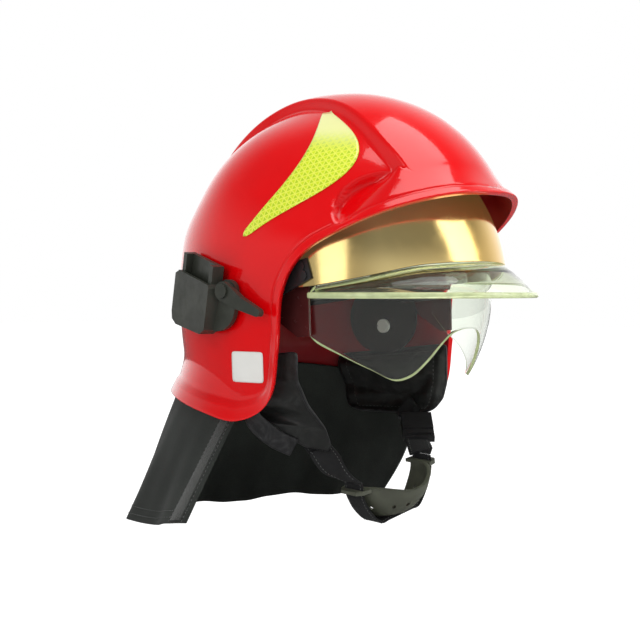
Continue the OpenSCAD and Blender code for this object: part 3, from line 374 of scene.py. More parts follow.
def side_dir(y, z):
    """Directions from the centre to the dome's left side at heights z and places y along the helmet."""
    x = HALF_W * np.maximum(1e-4, 1 - (np.abs(y - CENTRE[1]) / HALF_L) ** POWER
                            - (np.abs(z) / np.where(z > 0, HEIGHT, DEPTH)) ** POWER) ** (1 / POWER)
    return unit(np.stack([x, y - CENTRE[1], z], -1))


def slerp(p, q, t):
    """Directions a share t of the way from p to q along the arc between them."""
    w = np.arccos(np.clip(np.sum(p * q, -1, keepdims=True), -1, 1))
    return (p * np.sin((1 - t) * w) + q * np.sin(t * w)) / np.sin(w)


def head_point(p):
    """Harness frame to helmet frame."""
    p = np.asarray(p, float)
    c, s = math.cos(math.radians(HEAD_TILT)), math.sin(math.radians(HEAD_TILT))
    return np.stack([p[..., 0], p[..., 1] * c + p[..., 2] * s, HEAD_Z + p[..., 2] * c - p[..., 1] * s], -1)


# Materials
# Gold tints: the pale one is a painted reflection and the deep one is painted shade
GOLD_REFLECTED_PALE, GOLD_SHADED_DEEP, GOLD_DULL = (1.0, 0.80, 0.36), (0.80, 0.52, 0.15), (0.62, 0.46, 0.18)
FILM_PALE, FILM_DEEP, FILM_SPARK = (0.68, 0.84, 0.0), (0.50, 0.70, 0.0), (0.76, 0.90, 0.01)
# The glare colour below is a painted reflection on the film's top
FILM_PAINTED_GLARE, FILM_LINE = (0.95, 0.98, 0.42), (0.88, 0.96, 0.10)
# Turn of the film's lattice in degrees, and places in metres: its painted glare by height, the gold's
# painted reflection and painted shade by width
FILM_TURN = 8
PAINTED_GLARE_FROM, PAINTED_GLARE_TO = 0.110, 0.134
GOLD_END, GOLD_FULL_TINT, GOLD_NEAR, GOLD_FAR = -0.0958, -0.0780, -0.09, 0.03
MATS = {}


class Tree:
    """Short calls for building a node tree."""

    def __init__(self, nt):
        self.nt = nt

    def node(self, kind, **sets):
        n = self.nt.nodes.new(kind)
        for k, v in sets.items():
            setattr(n, k, v)
        return n

    def link(self, a, b):
        self.nt.links.new(a, b)

    def put(self, socket, value):
        """Gives a socket a colour, a number or another node's output."""
        if isinstance(value, tuple):
            socket.default_value = (*value, 1)
        elif isinstance(value, (int, float)):
            socket.default_value = value
        else:
            self.link(value, socket)

    def feed(self, node, **values):
        """Gives a node's inputs their values; an underscore in a name stands for a space."""
        for name, value in values.items():
            self.put(node.inputs[name.replace("_", " ")], value)

    def coords(self, kind="Object"):
        return self.node("ShaderNodeTexCoord").outputs[kind]

    def noise(self, scale, detail, rough=0.55, vec=None, distort=0.0):
        n = self.node("ShaderNodeTexNoise")
        self.feed(n, Scale=scale, Detail=detail, Roughness=rough, Distortion=distort,
                  Vector=self.coords() if vec is None else vec)
        return n.outputs["Fac"]

    def cells(self, scale):
        """How far each place lies from the edge of its cell."""
        n = self.node("ShaderNodeTexVoronoi", feature="DISTANCE_TO_EDGE")
        self.feed(n, Scale=scale, Vector=self.coords())
        return n.outputs["Distance"]

    def math(self, operation, *values):
        n = self.node("ShaderNodeMath", operation=operation)
        for socket, value in zip(n.inputs, values):
            self.put(socket, value)
        return n.outputs[0]

    def span(self, x, lo, hi, to_lo=0.0, to_hi=1.0, smooth=True):
        """Maps x from lo..hi to to_lo..to_hi."""
        n = self.node("ShaderNodeMapRange", interpolation_type="SMOOTHSTEP" if smooth else "LINEAR")
        for i, value in enumerate((x, lo, hi, to_lo, to_hi)):
            self.put(n.inputs[i], value)
        return n.outputs[0]

    def blend(self, fac, a, b):
        """Mixes two colours."""
        n = self.node("ShaderNodeMix", data_type="RGBA")
        for i, value in ((0, fac), (6, a), (7, b)):
            self.put(n.inputs[i], value)
        return n.outputs[2]

    def bump(self, height, strength, distance):
        n = self.node("ShaderNodeBump")
        self.feed(n, Height=height, Strength=strength, Distance=distance)
        return n.outputs["Normal"]

    def stretched(self, vec, scale):
        n = self.node("ShaderNodeMapping")
        n.inputs["Scale"].default_value = scale
        self.link(vec, n.inputs["Vector"])
        return n.outputs[0]

    def split(self, vec):
        n = self.node("ShaderNodeSeparateXYZ")
        self.link(vec, n.inputs[0])
        return n.outputs

    def ray(self, kind):
        """1 for rays of one kind, such as Is Camera Ray."""
        return self.node("ShaderNodeLightPath").outputs[kind]

    def seen(self):
        """1 for camera, glossy and transmission rays."""
        return self.math("MAXIMUM", self.ray("Is Camera Ray"),
                         self.math("MAXIMUM", self.ray("Is Glossy Ray"), self.ray("Is Transmission Ray")))

    def mirror(self):
        """1 for rays thrown back by a surface. Refracted rays count as glossy too, so they are left out."""
        return self.math("MULTIPLY", self.ray("Is Glossy Ray"),
                         self.math("SUBTRACT", 1.0, self.ray("Is Transmission Ray")))

    def surface(self, fac, a, b, out):
        """Mixes two shaders into a material's surface."""
        n = self.node("ShaderNodeMixShader")
        for socket, value in zip(n.inputs, (fac, a.outputs[0], b.outputs[0])):
            self.link(value, socket)
        self.link(n.outputs[0], out.inputs["Surface"])


def material(name):
    """A new material with its tree, its principled shader and its output."""
    m = bpy.data.materials.new(name)
    m.use_nodes = True
    nodes = m.node_tree.nodes
    return m, Tree(m.node_tree), nodes["Principled BSDF"], nodes["Material Output"]


def make_paint(name, colour, deep, rough=0.2, coat=0.7):
    """Glossy paint with faint clouds, smears and orange peel."""
    m, t, b, _ = material(name)
    t.feed(b, Base_Color=t.blend(t.span(t.noise(9.0, 3), 0.3, 0.75), colour, deep),
           Roughness=t.span(t.noise(38.0, 5, 0.6), 0.35, 0.8, rough - 0.04, rough + 0.07),
           Specular_IOR_Level=0.2, Coat_Weight=coat, Coat_Roughness=0.04,
           Normal=t.bump(t.noise(420.0, 2, 0.5), 0.05, 0.0004))
    return m


def make_plastic(name, colour, rough, grain=1500.0, depth=0.35, wear=0.25):
    """Moulded plastic with a fine grain and paler, worn clouds."""
    m, t, b, _ = material(name)
    pale = tuple(min(1.0, c * (1 + wear) + 0.012 * wear) for c in colour)
    t.feed(b, Base_Color=t.blend(t.span(t.noise(45.0, 4), 0.35, 0.8), colour, pale),
           Roughness=t.span(t.noise(120.0, 4), 0.3, 0.8, rough - 0.06, rough + 0.08),
           Normal=t.bump(t.noise(grain, 2), depth, 0.00012))
    return m


def make_metal(name, colour, rough=0.3):
    """Satin metal with fine lines along one direction."""
    m, t, b, _ = material(name)
    lines = t.noise(900.0, 2, 0.5, t.stretched(t.coords(), (1, 0.05, 1)))
    t.feed(b, Base_Color=t.blend(t.noise(60.0, 3), colour, tuple(c * 0.82 for c in colour)), Metallic=1.0,
           Roughness=t.span(lines, 0.3, 0.7, rough - 0.06, rough + 0.08))
    return m


def make_cloth(name, colour, pale, fibre, depth, sheen):
    """Felted or woven cloth: fine fibres, pills and a soft sheen."""
    m, t, b, _ = material(name)
    fuzz = t.noise(fibre, 6, 0.7)
    mixed = t.math("ADD", t.math("MULTIPLY", fuzz, 0.6), t.math("MULTIPLY", t.noise(22.0, 4), 0.4))
    t.feed(b, Base_Color=t.blend(t.span(mixed, 0.38, 0.68), colour, pale), Roughness=0.92,
           Sheen_Weight=sheen, Sheen_Roughness=0.5, Specular_IOR_Level=0.2,
           Normal=t.bump(fuzz, depth, 0.0006))
    return m


def make_webbing(name, colour, pale, pitch=0.0011):
    """Woven webbing on a strap's own UV: ribs across and yarns along."""
    m, t, b, _ = material(name)
    u, v, _w = t.split(t.coords("UV"))
    k = 2 * math.pi / pitch
    weave = t.math("MULTIPLY", t.math("SINE", t.math("MULTIPLY", v, k)),
                   t.math("SINE", t.math("MULTIPLY", u, k * 0.8)))
    height = t.math("ADD", t.math("MULTIPLY", weave, 0.5), t.math("MULTIPLY", t.noise(2200.0, 3, 0.6), 0.6))
    t.feed(b, Base_Color=t.blend(t.span(height, -0.2, 0.9), colour, pale), Roughness=0.75,
           Sheen_Weight=0.06, Specular_IOR_Level=0.3, Normal=t.bump(height, 0.6, 0.0003))
    return m


def make_leather(name, colour, pale, rough=0.42, scale=620.0):
    """Grained leather, paler and duller in its creases."""
    m, t, b, _ = material(name)
    grain = t.math("MULTIPLY", t.span(t.cells(scale), 0.0, 0.12), 0.35)
    crease = t.noise(60.0, 6, 0.7, None, 1.2)
    t.feed(b, Base_Color=t.blend(t.span(crease, 0.4, 0.75), colour, pale),
           Roughness=t.span(crease, 0.3, 0.8, rough - 0.08, rough + 0.12),
           Normal=t.bump(t.math("ADD", grain, crease), 0.28, 0.0006))
    return m


def make_clear(name, tint, haze=0.03):
    """Clear plastic: glass for the eye, see-through for lamps."""
    m, t, b, out = material(name)
    hazy = tuple(c * (1 - haze) for c in tint)
    t.feed(b, Base_Color=t.blend(t.span(t.noise(26.0, 4), 0.45, 0.8), tint, hazy), Roughness=0.0,
           Transmission_Weight=1.0, IOR=1.38)
    through = t.node("ShaderNodeBsdfTransparent")
    t.feed(through, Color=tuple(0.5 + 0.5 * c for c in tint))
    t.surface(t.ray("Is Shadow Ray"), b, through, out)
    return m


def make_glowing_edge(name, colour):
    """The cut edge of a clear moulding, painted paler and glowing as painted light that the edge gathers."""
    m, t, b, _ = material(name)
    deep = tuple(c * 0.7 for c in colour)
    # The paler colour and the emission are painted light gathered in the edge
    t.feed(b, Base_Color=t.blend(t.span(t.noise(120.0, 3), 0.3, 0.7), colour, deep), Roughness=0.22,
           Transmission_Weight=0.25, Emission_Color=colour, Emission_Strength=0.25, Coat_Weight=0.5)
    return m


def make_gold(name):
    """Gold coat: a painted reflection makes it pale on the wearer's right and painted shade makes it deeper
    to the left; it is duller at its right end, and its emission is a painted glow.
    """
    m, t, b, _ = material(name)
    across = t.split(t.coords())[0]
    depth = t.span(t.math("ADD", across, t.math("MULTIPLY", t.noise(14.0, 3), 0.03)), GOLD_NEAR, GOLD_FAR)
    tint = t.blend(depth, GOLD_REFLECTED_PALE, GOLD_SHADED_DEEP)
    tint = t.blend(t.span(across, GOLD_END, GOLD_FULL_TINT), GOLD_DULL, tint)
    # The emission of the tint is a painted glow standing in for the reflected room
    t.feed(b, Base_Color=tint, Metallic=1.0, Roughness=t.span(t.noise(90.0, 4), 0.35, 0.8, 0.15, 0.21),
           Emission_Color=tint, Emission_Strength=0.10, Coat_Weight=0.3, Coat_Roughness=0.12)
    return m


def make_film(name, cell):
    """Prismatic film: triangles, cell millimetres high, on the film's own UV, with a painted glare at its
    top and a faint painted glow.
    """
    m, t, b, _ = material(name)
    u, v, _w = t.split(t.coords("UV"))
    near, whole = [], []
    for k in range(3):
        a = math.radians(60 * k + FILM_TURN)
        s = t.math("ADD", t.math("MULTIPLY", u, 1000 * math.cos(a) / cell),
                   t.math("MULTIPLY", v, 1000 * math.sin(a) / cell))
        f = t.math("FRACT", s)
        near.append(t.math("MINIMUM", f, t.math("SUBTRACT", 1.0, f)))
        whole.append(t.math("FLOOR", s))
    lines = t.math("MINIMUM", t.math("MINIMUM", near[0], near[1]), near[2])
    count = t.math("ADD", t.math("ADD", whole[0], whole[1]), whole[2])
    odd = t.math("FRACT", t.math("MULTIPLY", count, 0.5))
    colour = t.blend(t.span(odd, 0.2, 0.3), FILM_PALE, FILM_DEEP)
    colour = t.blend(t.math("MULTIPLY", t.span(t.noise(700.0, 2), 0.4, 0.7), 0.35), colour, FILM_SPARK)
    # Painted glare: the film's top is painted paler as the reflection of a lamp
    painted_glare = t.span(v, PAINTED_GLARE_FROM, PAINTED_GLARE_TO)
    on_line = t.math("MULTIPLY", t.span(lines, 0.06, 0.15, 1.0, 0.0), t.math("SUBTRACT", 1.0, painted_glare))
    pattern = t.blend(on_line, t.blend(painted_glare, colour, FILM_PAINTED_GLARE), FILM_LINE)
    # The emission is a painted glow of the film's own colours
    t.feed(b, Base_Color=pattern, Roughness=0.35, Coat_Weight=1.0, Coat_Roughness=0.06,
           Emission_Color=pattern, Emission_Strength=0.05, Normal=t.bump(lines, 0.3, 0.0003))
    return m


def build_materials(red, film_cell):
    """Makes every finish and keeps it under a short name."""
    MATS.update(
        paint=make_paint("red_paint", red, tuple(c * 0.86 for c in red)),
        # The inner face's darker red is the same paint with painted shade
        inside=make_paint("shell_inside_shaded", (0.30, 0.003, 0.007), (0.22, 0.002, 0.005), 0.5, 0.15),
        film=make_film("reflective_film", film_cell),
        label=make_plastic("white_sticker", (0.86, 0.86, 0.82), 0.35, 900, 0.1, 0.05),
        foam=make_plastic("dark_foam", (0.035, 0.035, 0.036), 0.8, 700, 0.9, 0.5),
        black=make_plastic("black_plastic", (0.016, 0.016, 0.017), 0.36, 700, 0.05),
        grey=make_plastic("grey_plastic", (0.20, 0.19, 0.185), 0.4),
        white=make_plastic("white_plastic", (0.78, 0.77, 0.73), 0.35),
        button=make_plastic("red_plastic", (0.55, 0.02, 0.02), 0.35),
        arm=make_plastic("dark_red_plastic", (0.06, 0.012, 0.012), 0.22, 1500, 0.05),
        leather=make_leather("black_leather", (0.018, 0.019, 0.018), (0.040, 0.042, 0.040)),
        grey_leather=make_leather("creased_leather", (0.014, 0.014, 0.015), (0.046, 0.046, 0.048),
                                  0.38, 420),
        webbing=make_webbing("black_webbing", (0.008, 0.008, 0.009), (0.026, 0.026, 0.027)),
        steel=make_metal("satin_steel", (0.62, 0.60, 0.57)),
        gold=make_gold("gold_coat"),
        clear=make_clear("clear_plastic", (0.93, 0.96, 0.90)),
        lip_clear=make_clear("lip_plastic", (0.86, 0.90, 0.76), 0.06),
        lens_edge=make_glowing_edge("lens_edge", (0.60, 0.68, 0.36)),
        gold_edge=make_glowing_edge("gold_edge", (0.50, 0.42, 0.16)),
        thread=make_plastic("thread", (0.10, 0.105, 0.10), 0.7, 3000, 0.6, 0.5),
        bracket=make_plastic("bracket_plastic", (0.034, 0.037, 0.028), 0.42, 1100, 0.3, 0.5),
        rubber=make_plastic("black_rubber", (0.018, 0.018, 0.018), 0.7),
        curtain=make_cloth("curtain_cloth", (0.027, 0.030, 0.027), (0.048, 0.053, 0.048), 1400.0, 0.4, 0.1),
        tape=make_cloth("loop_tape", (0.014, 0.016, 0.014), (0.075, 0.08, 0.072), 2200, 0.9, 0.6),
        cup=make_plastic("cup_rubber", (0.085, 0.090, 0.066), 0.45, 900, 0.2, 0.4),
    )


def paint_node(name, key, edge=0.0):
    """Gives a CAD node its finish, and softens its sharp edges by edge millimetres."""
    mesh = NODES[name].data
    mesh.materials.clear()
    mesh.materials.append(MATS[key])
    if edge:
        bevel(NODES[name], edge)


# Shell and film
MIDDLE_RAYS = 260
# Rows of points before, across and after the crest's wall, which rays to the edge pass at fixed shares
ROWS_OUTSIDE, ROWS_INSIDE = (34, 9, 26), (20, 5, 14)
WALL_FOOT, WALL_TOP = 6.5, -1.0
EDGE_WALL_FROM, EDGE_WALL_TO = 0.66, 0.72
EDGE_CROWDING = 1.7
# The film's lower and upper outline in y and z, and its two faces above the paint
FILM_LOW = np.array([[0, 44], [-26, 70], [-60, 109], [-27, 148.2]], float)
FILM_HIGH = np.array([[-3, 40], [-60, 75], [-134, 104], [-34, 149]], float)
FILM_BACK, FILM_FACE = 0.45, 0.85


def shell_rays():
    """Directions from the centre to the left half's edge and then along the middle line."""
    low = math.atan2(lip_dir[-1][2], lip_dir[-1][1])
    high = math.atan2(lip_dir[0][2], lip_dir[0][1])
    a = low + (high - low) * np.arange(1, MIDDLE_RAYS) / MIDDLE_RAYS
    return np.vstack([lip_dir, np.stack([np.zeros_like(a), np.cos(a), np.sin(a)], 1)])


def wall_crossing(rays, q):
    """How far along its arc from the pole each ray comes to q millimetres outside the crest's side."""
    lo, hi = np.full(len(rays), 0.3), np.full(len(rays), 1.0)
    for _ in range(18):
        m = (lo + hi) / 2
        d = slerp(POLE[None], rays, m[:, None])
        pt = CENTRE + d * dome_r(d)[:, None]
        out = pt[:, 0] - crest_w(pt) - q > 0
        lo, hi = np.where(out, m, lo), np.where(out, hi, m)
    return (lo + hi) / 2


def skin(rays, t0, t1, counts, off, bead):
    """Half of a surface of the shell, off millimetres in: points, faces and its edge's first point."""
    before, across, after = counts
    n = len(rays)
    ts = [t0 * k / before for k in range(1, before + 1)]
    ts += [t0 + (t1 - t0) * k / across for k in range(1, across + 1)]
    ts += [t1 + (1 - t1) * (1 - (1 - k / after) ** EDGE_CROWDING) for k in range(1, after + 1)]
    pts = [outer_half(POLE[None], bead) - POLE * off]
    for t in ts:
        d = slerp(POLE[None], rays, t[:, None])
        pts.append(outer_half(d, bead) - d * off)
    v = np.vstack(pts)
    f = [(0, 1 + j, 1 + (j + 1) % n) for j in range(n)] + grid_faces(len(ts), n, 1, close_cols=True)
    edge = 1 + (len(ts) - 1) * n
    # The middle line lies in the plane of symmetry
    v[edge, 0] = 0
    v[edge + len(lip_curve) - 1:, 0] = 0
    return v, f, edge


def make_shell(bead):
    """The shell, with its crest, side panels, hollows, flared neck rim and edge bead."""
    rays, lips = shell_rays(), len(lip_curve) - 1
    to_lip = np.arange(len(rays)) <= lips
    t0 = np.where(to_lip, EDGE_WALL_FROM, wall_crossing(rays, WALL_FOOT))
    t1 = np.where(to_lip, EDGE_WALL_TO, wall_crossing(rays, WALL_TOP))
    out_v, out_f, out_e = skin(rays, t0, t1, ROWS_OUTSIDE, 0, bead)
    in_v, in_f, in_e = skin(rays, t0, t1, ROWS_INSIDE, WALL, 0)
    k = len(out_v)
    verts = np.vstack([out_v, in_v])
    faces = out_f + [tuple(x + k for x in reversed(f)) for f in in_f]
    faces += [(out_e + j, k + in_e + j, k + in_e + j + 1, out_e + j + 1) for j in range(lips)]
    total, half = len(verts), len(faces)
    verts = np.vstack([verts, mirror_x(verts)])
    faces += [tuple(x + total for x in reversed(f)) for f in faces]
    # The inner faces take the darker paint, which is painted shade
    inside = range(len(out_f), len(out_f) + len(in_f))
    shell = make_object("shell_skin", verts, faces, MATS["paint"], second=MATS["inside"],
                        second_faces=[i + h for h in (0, half) for i in inside])
    finished(fix_normals(shell), "shell", ["outer_shell"])


def bezier(c, t):
    """Points of the cubic curve with four control points c."""
    t = np.asarray(t)[:, None]
    return c[0] * (1 - t) ** 3 + 3 * c[1] * t * (1 - t) ** 2 + 3 * c[2] * t ** 2 * (1 - t) + c[3] * t ** 3


def make_films():
    """The film on both sides, between two curves, with its first end rounded."""
    rows, cols = 70, 22
    for name, side in (("film_right", -1), ("film_left", 1)):
        t = np.linspace(0, 1, rows)
        lo, hi = bezier(FILM_LOW, t), bezier(FILM_HIGH, t)
        s = np.linspace(0, 1, cols)
        e = np.clip(t / 0.05, 0, 1)
        w = (0.5 + (s[None] - 0.5) * np.sqrt(e * (2 - e))[:, None])[..., None]
        yz = lo[:, None] * (1 - w) + hi[:, None] * w
        d = side_dir(yz[..., 0].ravel(), yz[..., 1].ravel()) * (side, 1, 1)
        face = outer(d, FILM_FACE).reshape(rows, cols, 3)
        back = outer(d, FILM_BACK).reshape(rows, cols, 3)
        v, f = shell_of(face, back)
        uv = np.vstack([yz.reshape(-1, 2)] * 2) * 0.001
        film = make_object(name + "_skin", v, f, MATS["film"], uv=uv)
        finished(fix_normals(film), "shell", [name])


# Visors
SHIELD_ARCH, SHIELD_ARCH_Z, SHIELD_SHOULDER = 76.0, 40.2, 78.2
EYE_TOP = 14.0
EYE_EDGE = [(96.4, 4), (95.8, -20), (92.9, -38), (81, -51), (66, -61), (51, -68.5),
            (41, -65.5), (34, -55), (27, -42), (19, -33), (9, -29.5), (0, -29)]
END_BARE = 4
LIP_RAYS = 150
# The lip starts inside the lens; its tip is an arc that ends wider than the lens and behind its middle
LIP_INTO, LIP_WIDER, LIP_BEHIND = 0.45, 3, 22


def ring_r(x, r):
    """Distance from the hinge axis of a visor's surface at x."""
    return VISOR_OFF + np.sqrt(np.maximum(0, r * r - x * x))


def torus_point(theta, x, r):
    """A point on a visor's surface: theta is its angle above the pivots, in degrees."""
    big = ring_r(x, r)
    a = np.radians(theta)
    return np.stack([x, PIVOT_Y - big * np.cos(a), big * np.sin(a)], -1)


def angle_at(z, x, r):
    """Angle above the pivots, in degrees, of a visor's place at height z."""
    return np.degrees(np.arcsin(np.clip(z / ring_r(x, r), -1, 1)))


def shield_top(x):
    """Height of the face shield's upper edge."""
    a = np.abs(x)
    arch = SHIELD_ARCH_Z + np.sqrt(np.maximum(0, SHIELD_ARCH ** 2 - a ** 2))
    side = np.interp(a, [SHIELD_SHOULDER, 90.2, 98.2, SHIELD_X], [60, 51, 45, 33])
    return np.where(a < SHIELD_SHOULDER, np.maximum(60, arch), side)


def shield_low(x):
    """Height of the face shield's lower edge."""
    return (ring_r(x, SHIELD_R) * math.sin(math.radians(SHIELD_LOW))
            - END_DROP * sm(0.5, 1, np.abs(x) / SHIELD_X))


def lens(name, x, top, low, r, t, rows, main, edge):
    """A visor between two angles over each x, with its cut edges in a second, glowing material (painted
    light) short of its ends.
    """
    s = np.linspace(0, 1, rows)[:, None]
    theta = top[None] * (1 - s) + low[None] * s
    across = np.broadcast_to(x, theta.shape)
    v, f = shell_of(torus_point(theta, across, r), torus_point(theta, across, r - t))
    rim = range(len(f) - 2 * (rows + len(x)) + 4, len(f))
    glowing_faces = [k for k in rim if np.abs(v[list(f[k]), 0]).mean() < np.abs(x).max() - END_BARE]
    visor = make_object(name, v, f, MATS[main], second=MATS[edge], second_faces=glowing_faces)
    return soften(fix_normals(visor), 0.5)


def lip_ring(a):
    """The clear lip's section at each angle a, in degrees: root, plate, beaded tip, and back below."""
    a = np.asarray(a, float)
    low = math.radians(SHIELD_LOW)
    sn, cs = np.sin(np.radians(a)), np.cos(np.radians(a))

    def root(r, z):
        drop = END_DROP * sm(0.5, 1, np.abs(r * sn) / SHIELD_X)
        return np.stack([r * sn, PIVOT_Y - (VISOR_OFF + r * cs) * math.cos(low),
                         z - LIP_INTO + (VISOR_OFF + r * cs) * math.sin(low) - drop], -1)

    reach = VISOR_OFF + SHIELD_R
    tip_y, tip_z = PIVOT_Y - reach * math.cos(low) - LIP_REACH, reach * math.sin(low) - LIP_DROP
    half, deep = SHIELD_X + LIP_WIDER, PIVOT_Y - VISOR_OFF - LIP_BEHIND - tip_y
    tip_r = (half ** 2 + deep ** 2) / (2 * deep)
    b = np.radians(a / LIP_END * math.degrees(math.atan2(half, tip_r - deep)))

    def tip(grow, z):
        return np.stack([(tip_r + grow) * np.sin(b), tip_y + tip_r - (tip_r + grow) * np.cos(b),
                         np.full_like(a, tip_z + z)], -1)

    up = np.array([0, 0, 1.0])
    i, o, w = root(SHIELD_R - SHIELD_T, 0), root(SHIELD_R, 0), tip(0, 0)
    t = SHIELD_T
    return np.stack([
        i, (i + o) / 2, o, mix(o, w, 0.3) + up * 1.0, mix(o, w, 0.6) + up * 1.0, mix(o, w, 0.93) + up * 0.5,
        tip(-0.9, 1.9), tip(0.3, 2.3), tip(1.4, 1.5), tip(1.5, 0), tip(1.4, -1.5), tip(0.3, -2.3),
        tip(-0.9, -2.2), mix(o, w, 0.93) - up * 1.9, mix(o, w, 0.6) - up * 1.5, mix(o, w, 0.3) - up * 1.6,
        mix(i, o, 0.9) - up * (t + 0.2), mix(i, o, 0.5) - up * (t + 0.3), i - up * t], 1)


def make_face_shield():
    """The gold lens between its arched upper edge and its lower edge."""
    x = SHIELD_X * np.sin(np.linspace(-math.pi / 2, math.pi / 2, 161))
    top = np.minimum(60.0, angle_at(shield_top(x), x, SHIELD_R))
    low = angle_at(shield_low(x), x, SHIELD_R)
    finished(lens("face_shield_lens", x, top, low, SHIELD_R, SHIELD_T, 60, "gold", "gold_edge"),
             "face_shield", ["face_shield"])


def make_eye_visor():
    """The clear lens, cut out over the nose."""
    half = spline(EYE_EDGE, 10, (96.4, 20), (-9, -29.5))
    line = np.vstack([half, half[-2::-1] * (-1, 1)])[::-1]
    x, z = line[:, 0], line[:, 1]
    top, low = np.full_like(x, EYE_TOP), angle_at(z, x, EYE_R)
    finished(lens("eye_visor_lens", x, top, low, EYE_R, EYE_T, 50, "clear", "lens_edge"),
             "eye_visor", ["eye_visor"])


def make_shield_lip():
    """The clear outward lip, with a painted glow at its root and along its bead."""
    ring = lip_ring(np.linspace(LIP_END, -LIP_END, LIP_RAYS))
    m = ring.shape[1]
    faces = grid_faces(LIP_RAYS, m, close_cols=True)
    glowing_faces = [k for k in range(len(faces)) if k % m in (0, 1, 6, 7, 8, 9, 10, 11)]
    faces += [tuple(range(m)), tuple(range((LIP_RAYS - 1) * m + m - 1, (LIP_RAYS - 1) * m - 1, -1))]
    glowing_faces += [len(faces) - 2, len(faces) - 1]
    lip = make_object("shield_lip_plate", ring.reshape(-1, 3), faces, MATS["lip_clear"],
                      second=MATS["lens_edge"], second_faces=glowing_faces)
    finished(fix_normals(lip), "face_shield", ["shield_lip"])


def make_visors():
    """Both visors, the lip and the finish of their arms and rivets."""
    make_face_shield()
    make_eye_visor()
    make_shield_lip()
    for side in ("right", "left"):
        paint_node("shield_arm_" + side, "black", 0.4)
        paint_node("eye_arm_" + side, "arm", 0.4)
    paint_node("shield_rivets", "black", 0.2)


# Stitches
def stitch_tree():
    """Node group that lays stitches of a given size and pitch along lines."""
    g = bpy.data.node_groups.new("stitches", "GeometryNodeTree")
    for name, kind in (("Geometry", "Geometry"), ("Pitch", "Float"), ("Size", "Vector"),
                       ("Material", "Material")):
        g.interface.new_socket(name, in_out="INPUT", socket_type="NodeSocket" + kind)
    g.interface.new_socket("Geometry", in_out="OUTPUT", socket_type="NodeSocketGeometry")
    nodes, link = g.nodes, g.links.new
    start, end = nodes.new("NodeGroupInput"), nodes.new("NodeGroupOutput")
    curve = nodes.new("GeometryNodeMeshToCurve")
    points = nodes.new("GeometryNodeCurveToPoints")
    points.mode = "LENGTH"
    turn = nodes.new("FunctionNodeAlignRotationToVector")
    turn.axis = "X"
    ball = nodes.new("GeometryNodeMeshIcoSphere")
    ball.inputs["Radius"].default_value = 1.0
    ball.inputs["Subdivisions"].default_value = 2
    put = nodes.new("GeometryNodeInstanceOnPoints")
    real = nodes.new("GeometryNodeRealizeInstances")
    finish = nodes.new("GeometryNodeSetMaterial")
    link(start.outputs["Geometry"], curve.inputs[0])
    link(curve.outputs[0], points.inputs["Curve"])
    link(start.outputs["Pitch"], points.inputs["Length"])
    link(points.outputs["Tangent"], turn.inputs["Vector"])
    link(points.outputs["Points"], put.inputs["Points"])
    link(ball.outputs["Mesh"], put.inputs["Instance"])
    link(turn.outputs[0], put.inputs["Rotation"])
    link(start.outputs["Size"], put.inputs["Scale"])
    link(put.outputs[0], real.inputs[0])
    link(real.outputs[0], finish.inputs["Geometry"])
    link(start.outputs["Material"], finish.inputs["Material"])
    link(finish.outputs[0], end.inputs["Geometry"])
    return g


def stitches(name, paths, key, pitch=3.4, size=(1.15, 0.3, 0.3)):
    """One mesh of stitches along several paths, in millimetres."""
    verts, edges = [], []
    for path in paths:
        k = len(verts)
        verts += [tuple(q) for q in np.asarray(path, float) * 0.001]
        edges += [(i, i + 1) for i in range(k, len(verts) - 1)]
    mesh = bpy.data.meshes.new(name)
    mesh.from_pydata(verts, edges, [])
    obj = bpy.data.objects.new(name, mesh)
    bpy.context.scene.collection.objects.link(obj)
    tree = bpy.data.node_groups.get("stitches") or stitch_tree()
    mod = obj.modifiers.new("stitches", "NODES")
    mod.node_group = tree
    ids = {s.name: s.identifier for s in tree.interface.items_tree if s.in_out == "INPUT"}
    mod[ids["Pitch"]] = pitch * 0.001
    mod[ids["Size"]] = tuple(v * 0.001 for v in size)
    mod[ids["Material"]] = MATS[key]
    apply_modifiers(obj)
    for q in obj.data.polygons:
        q.use_smooth = True
    return finished(obj, "shell", [])


# Liner, pads and harness
LINER_W, LINER_FRONT, LINER_BACK, LINER_UP, LINER_DOWN = 90.4, HALF_L - 46, HALF_L + 22, HEIGHT - 27, 300.0
LINER_GAP = 3.4
# Upper edge, wave of the lower edge and the crown's edges, in degrees over the shell's middle
RING_TOP, RING_WAVE, CROWN_TOP, CROWN_LOW = 45.8, 6.0, 84.0, 46.2
CAVITY_W, CAVITY_L, CAVITY_H = BAND_W + BAND_T + 4.5, BAND_L + BAND_T + 6.5, 106.0


def egg(d, w, l, h, q):
    """Distance from the shell's centre to an ellipsoid round q, in directions d."""
    o = CENTRE - np.asarray(q, float)
    k = np.stack(np.broadcast_arrays(1 / np.square(w), 1 / np.square(l), 1 / np.square(h)), -1).astype(float)
    a, b = np.sum(k * d * d, -1), np.sum(k * o * d, -1)
    c = np.sum(k * o * o, -1) - 1
    return (np.sqrt(b * b - a * c) - b) / a


def liner_out(d):
    """The foam's outer radius in directions d: its own shape, kept clear of the shell."""
    r = dome_r(d)
    p = CENTRE + d * r[:, None]
    p = np.abs(p) * (1, 0, 1) + p * (0, 1, 0)
    own = egg(d, LINER_W, np.where(d[:, 1] < 0, LINER_FRONT, LINER_BACK),
              np.where(d[:, 2] > 0, LINER_UP, LINER_DOWN), CENTRE)
    return np.minimum(r - let_in(p) - WALL - LINER_GAP, own)


def liner_in(d):
    """The foam's inner radius in directions d, clear of the headband."""
    return egg(d, CAVITY_W, CAVITY_L, CAVITY_H, (0, 0, HEAD_Z))


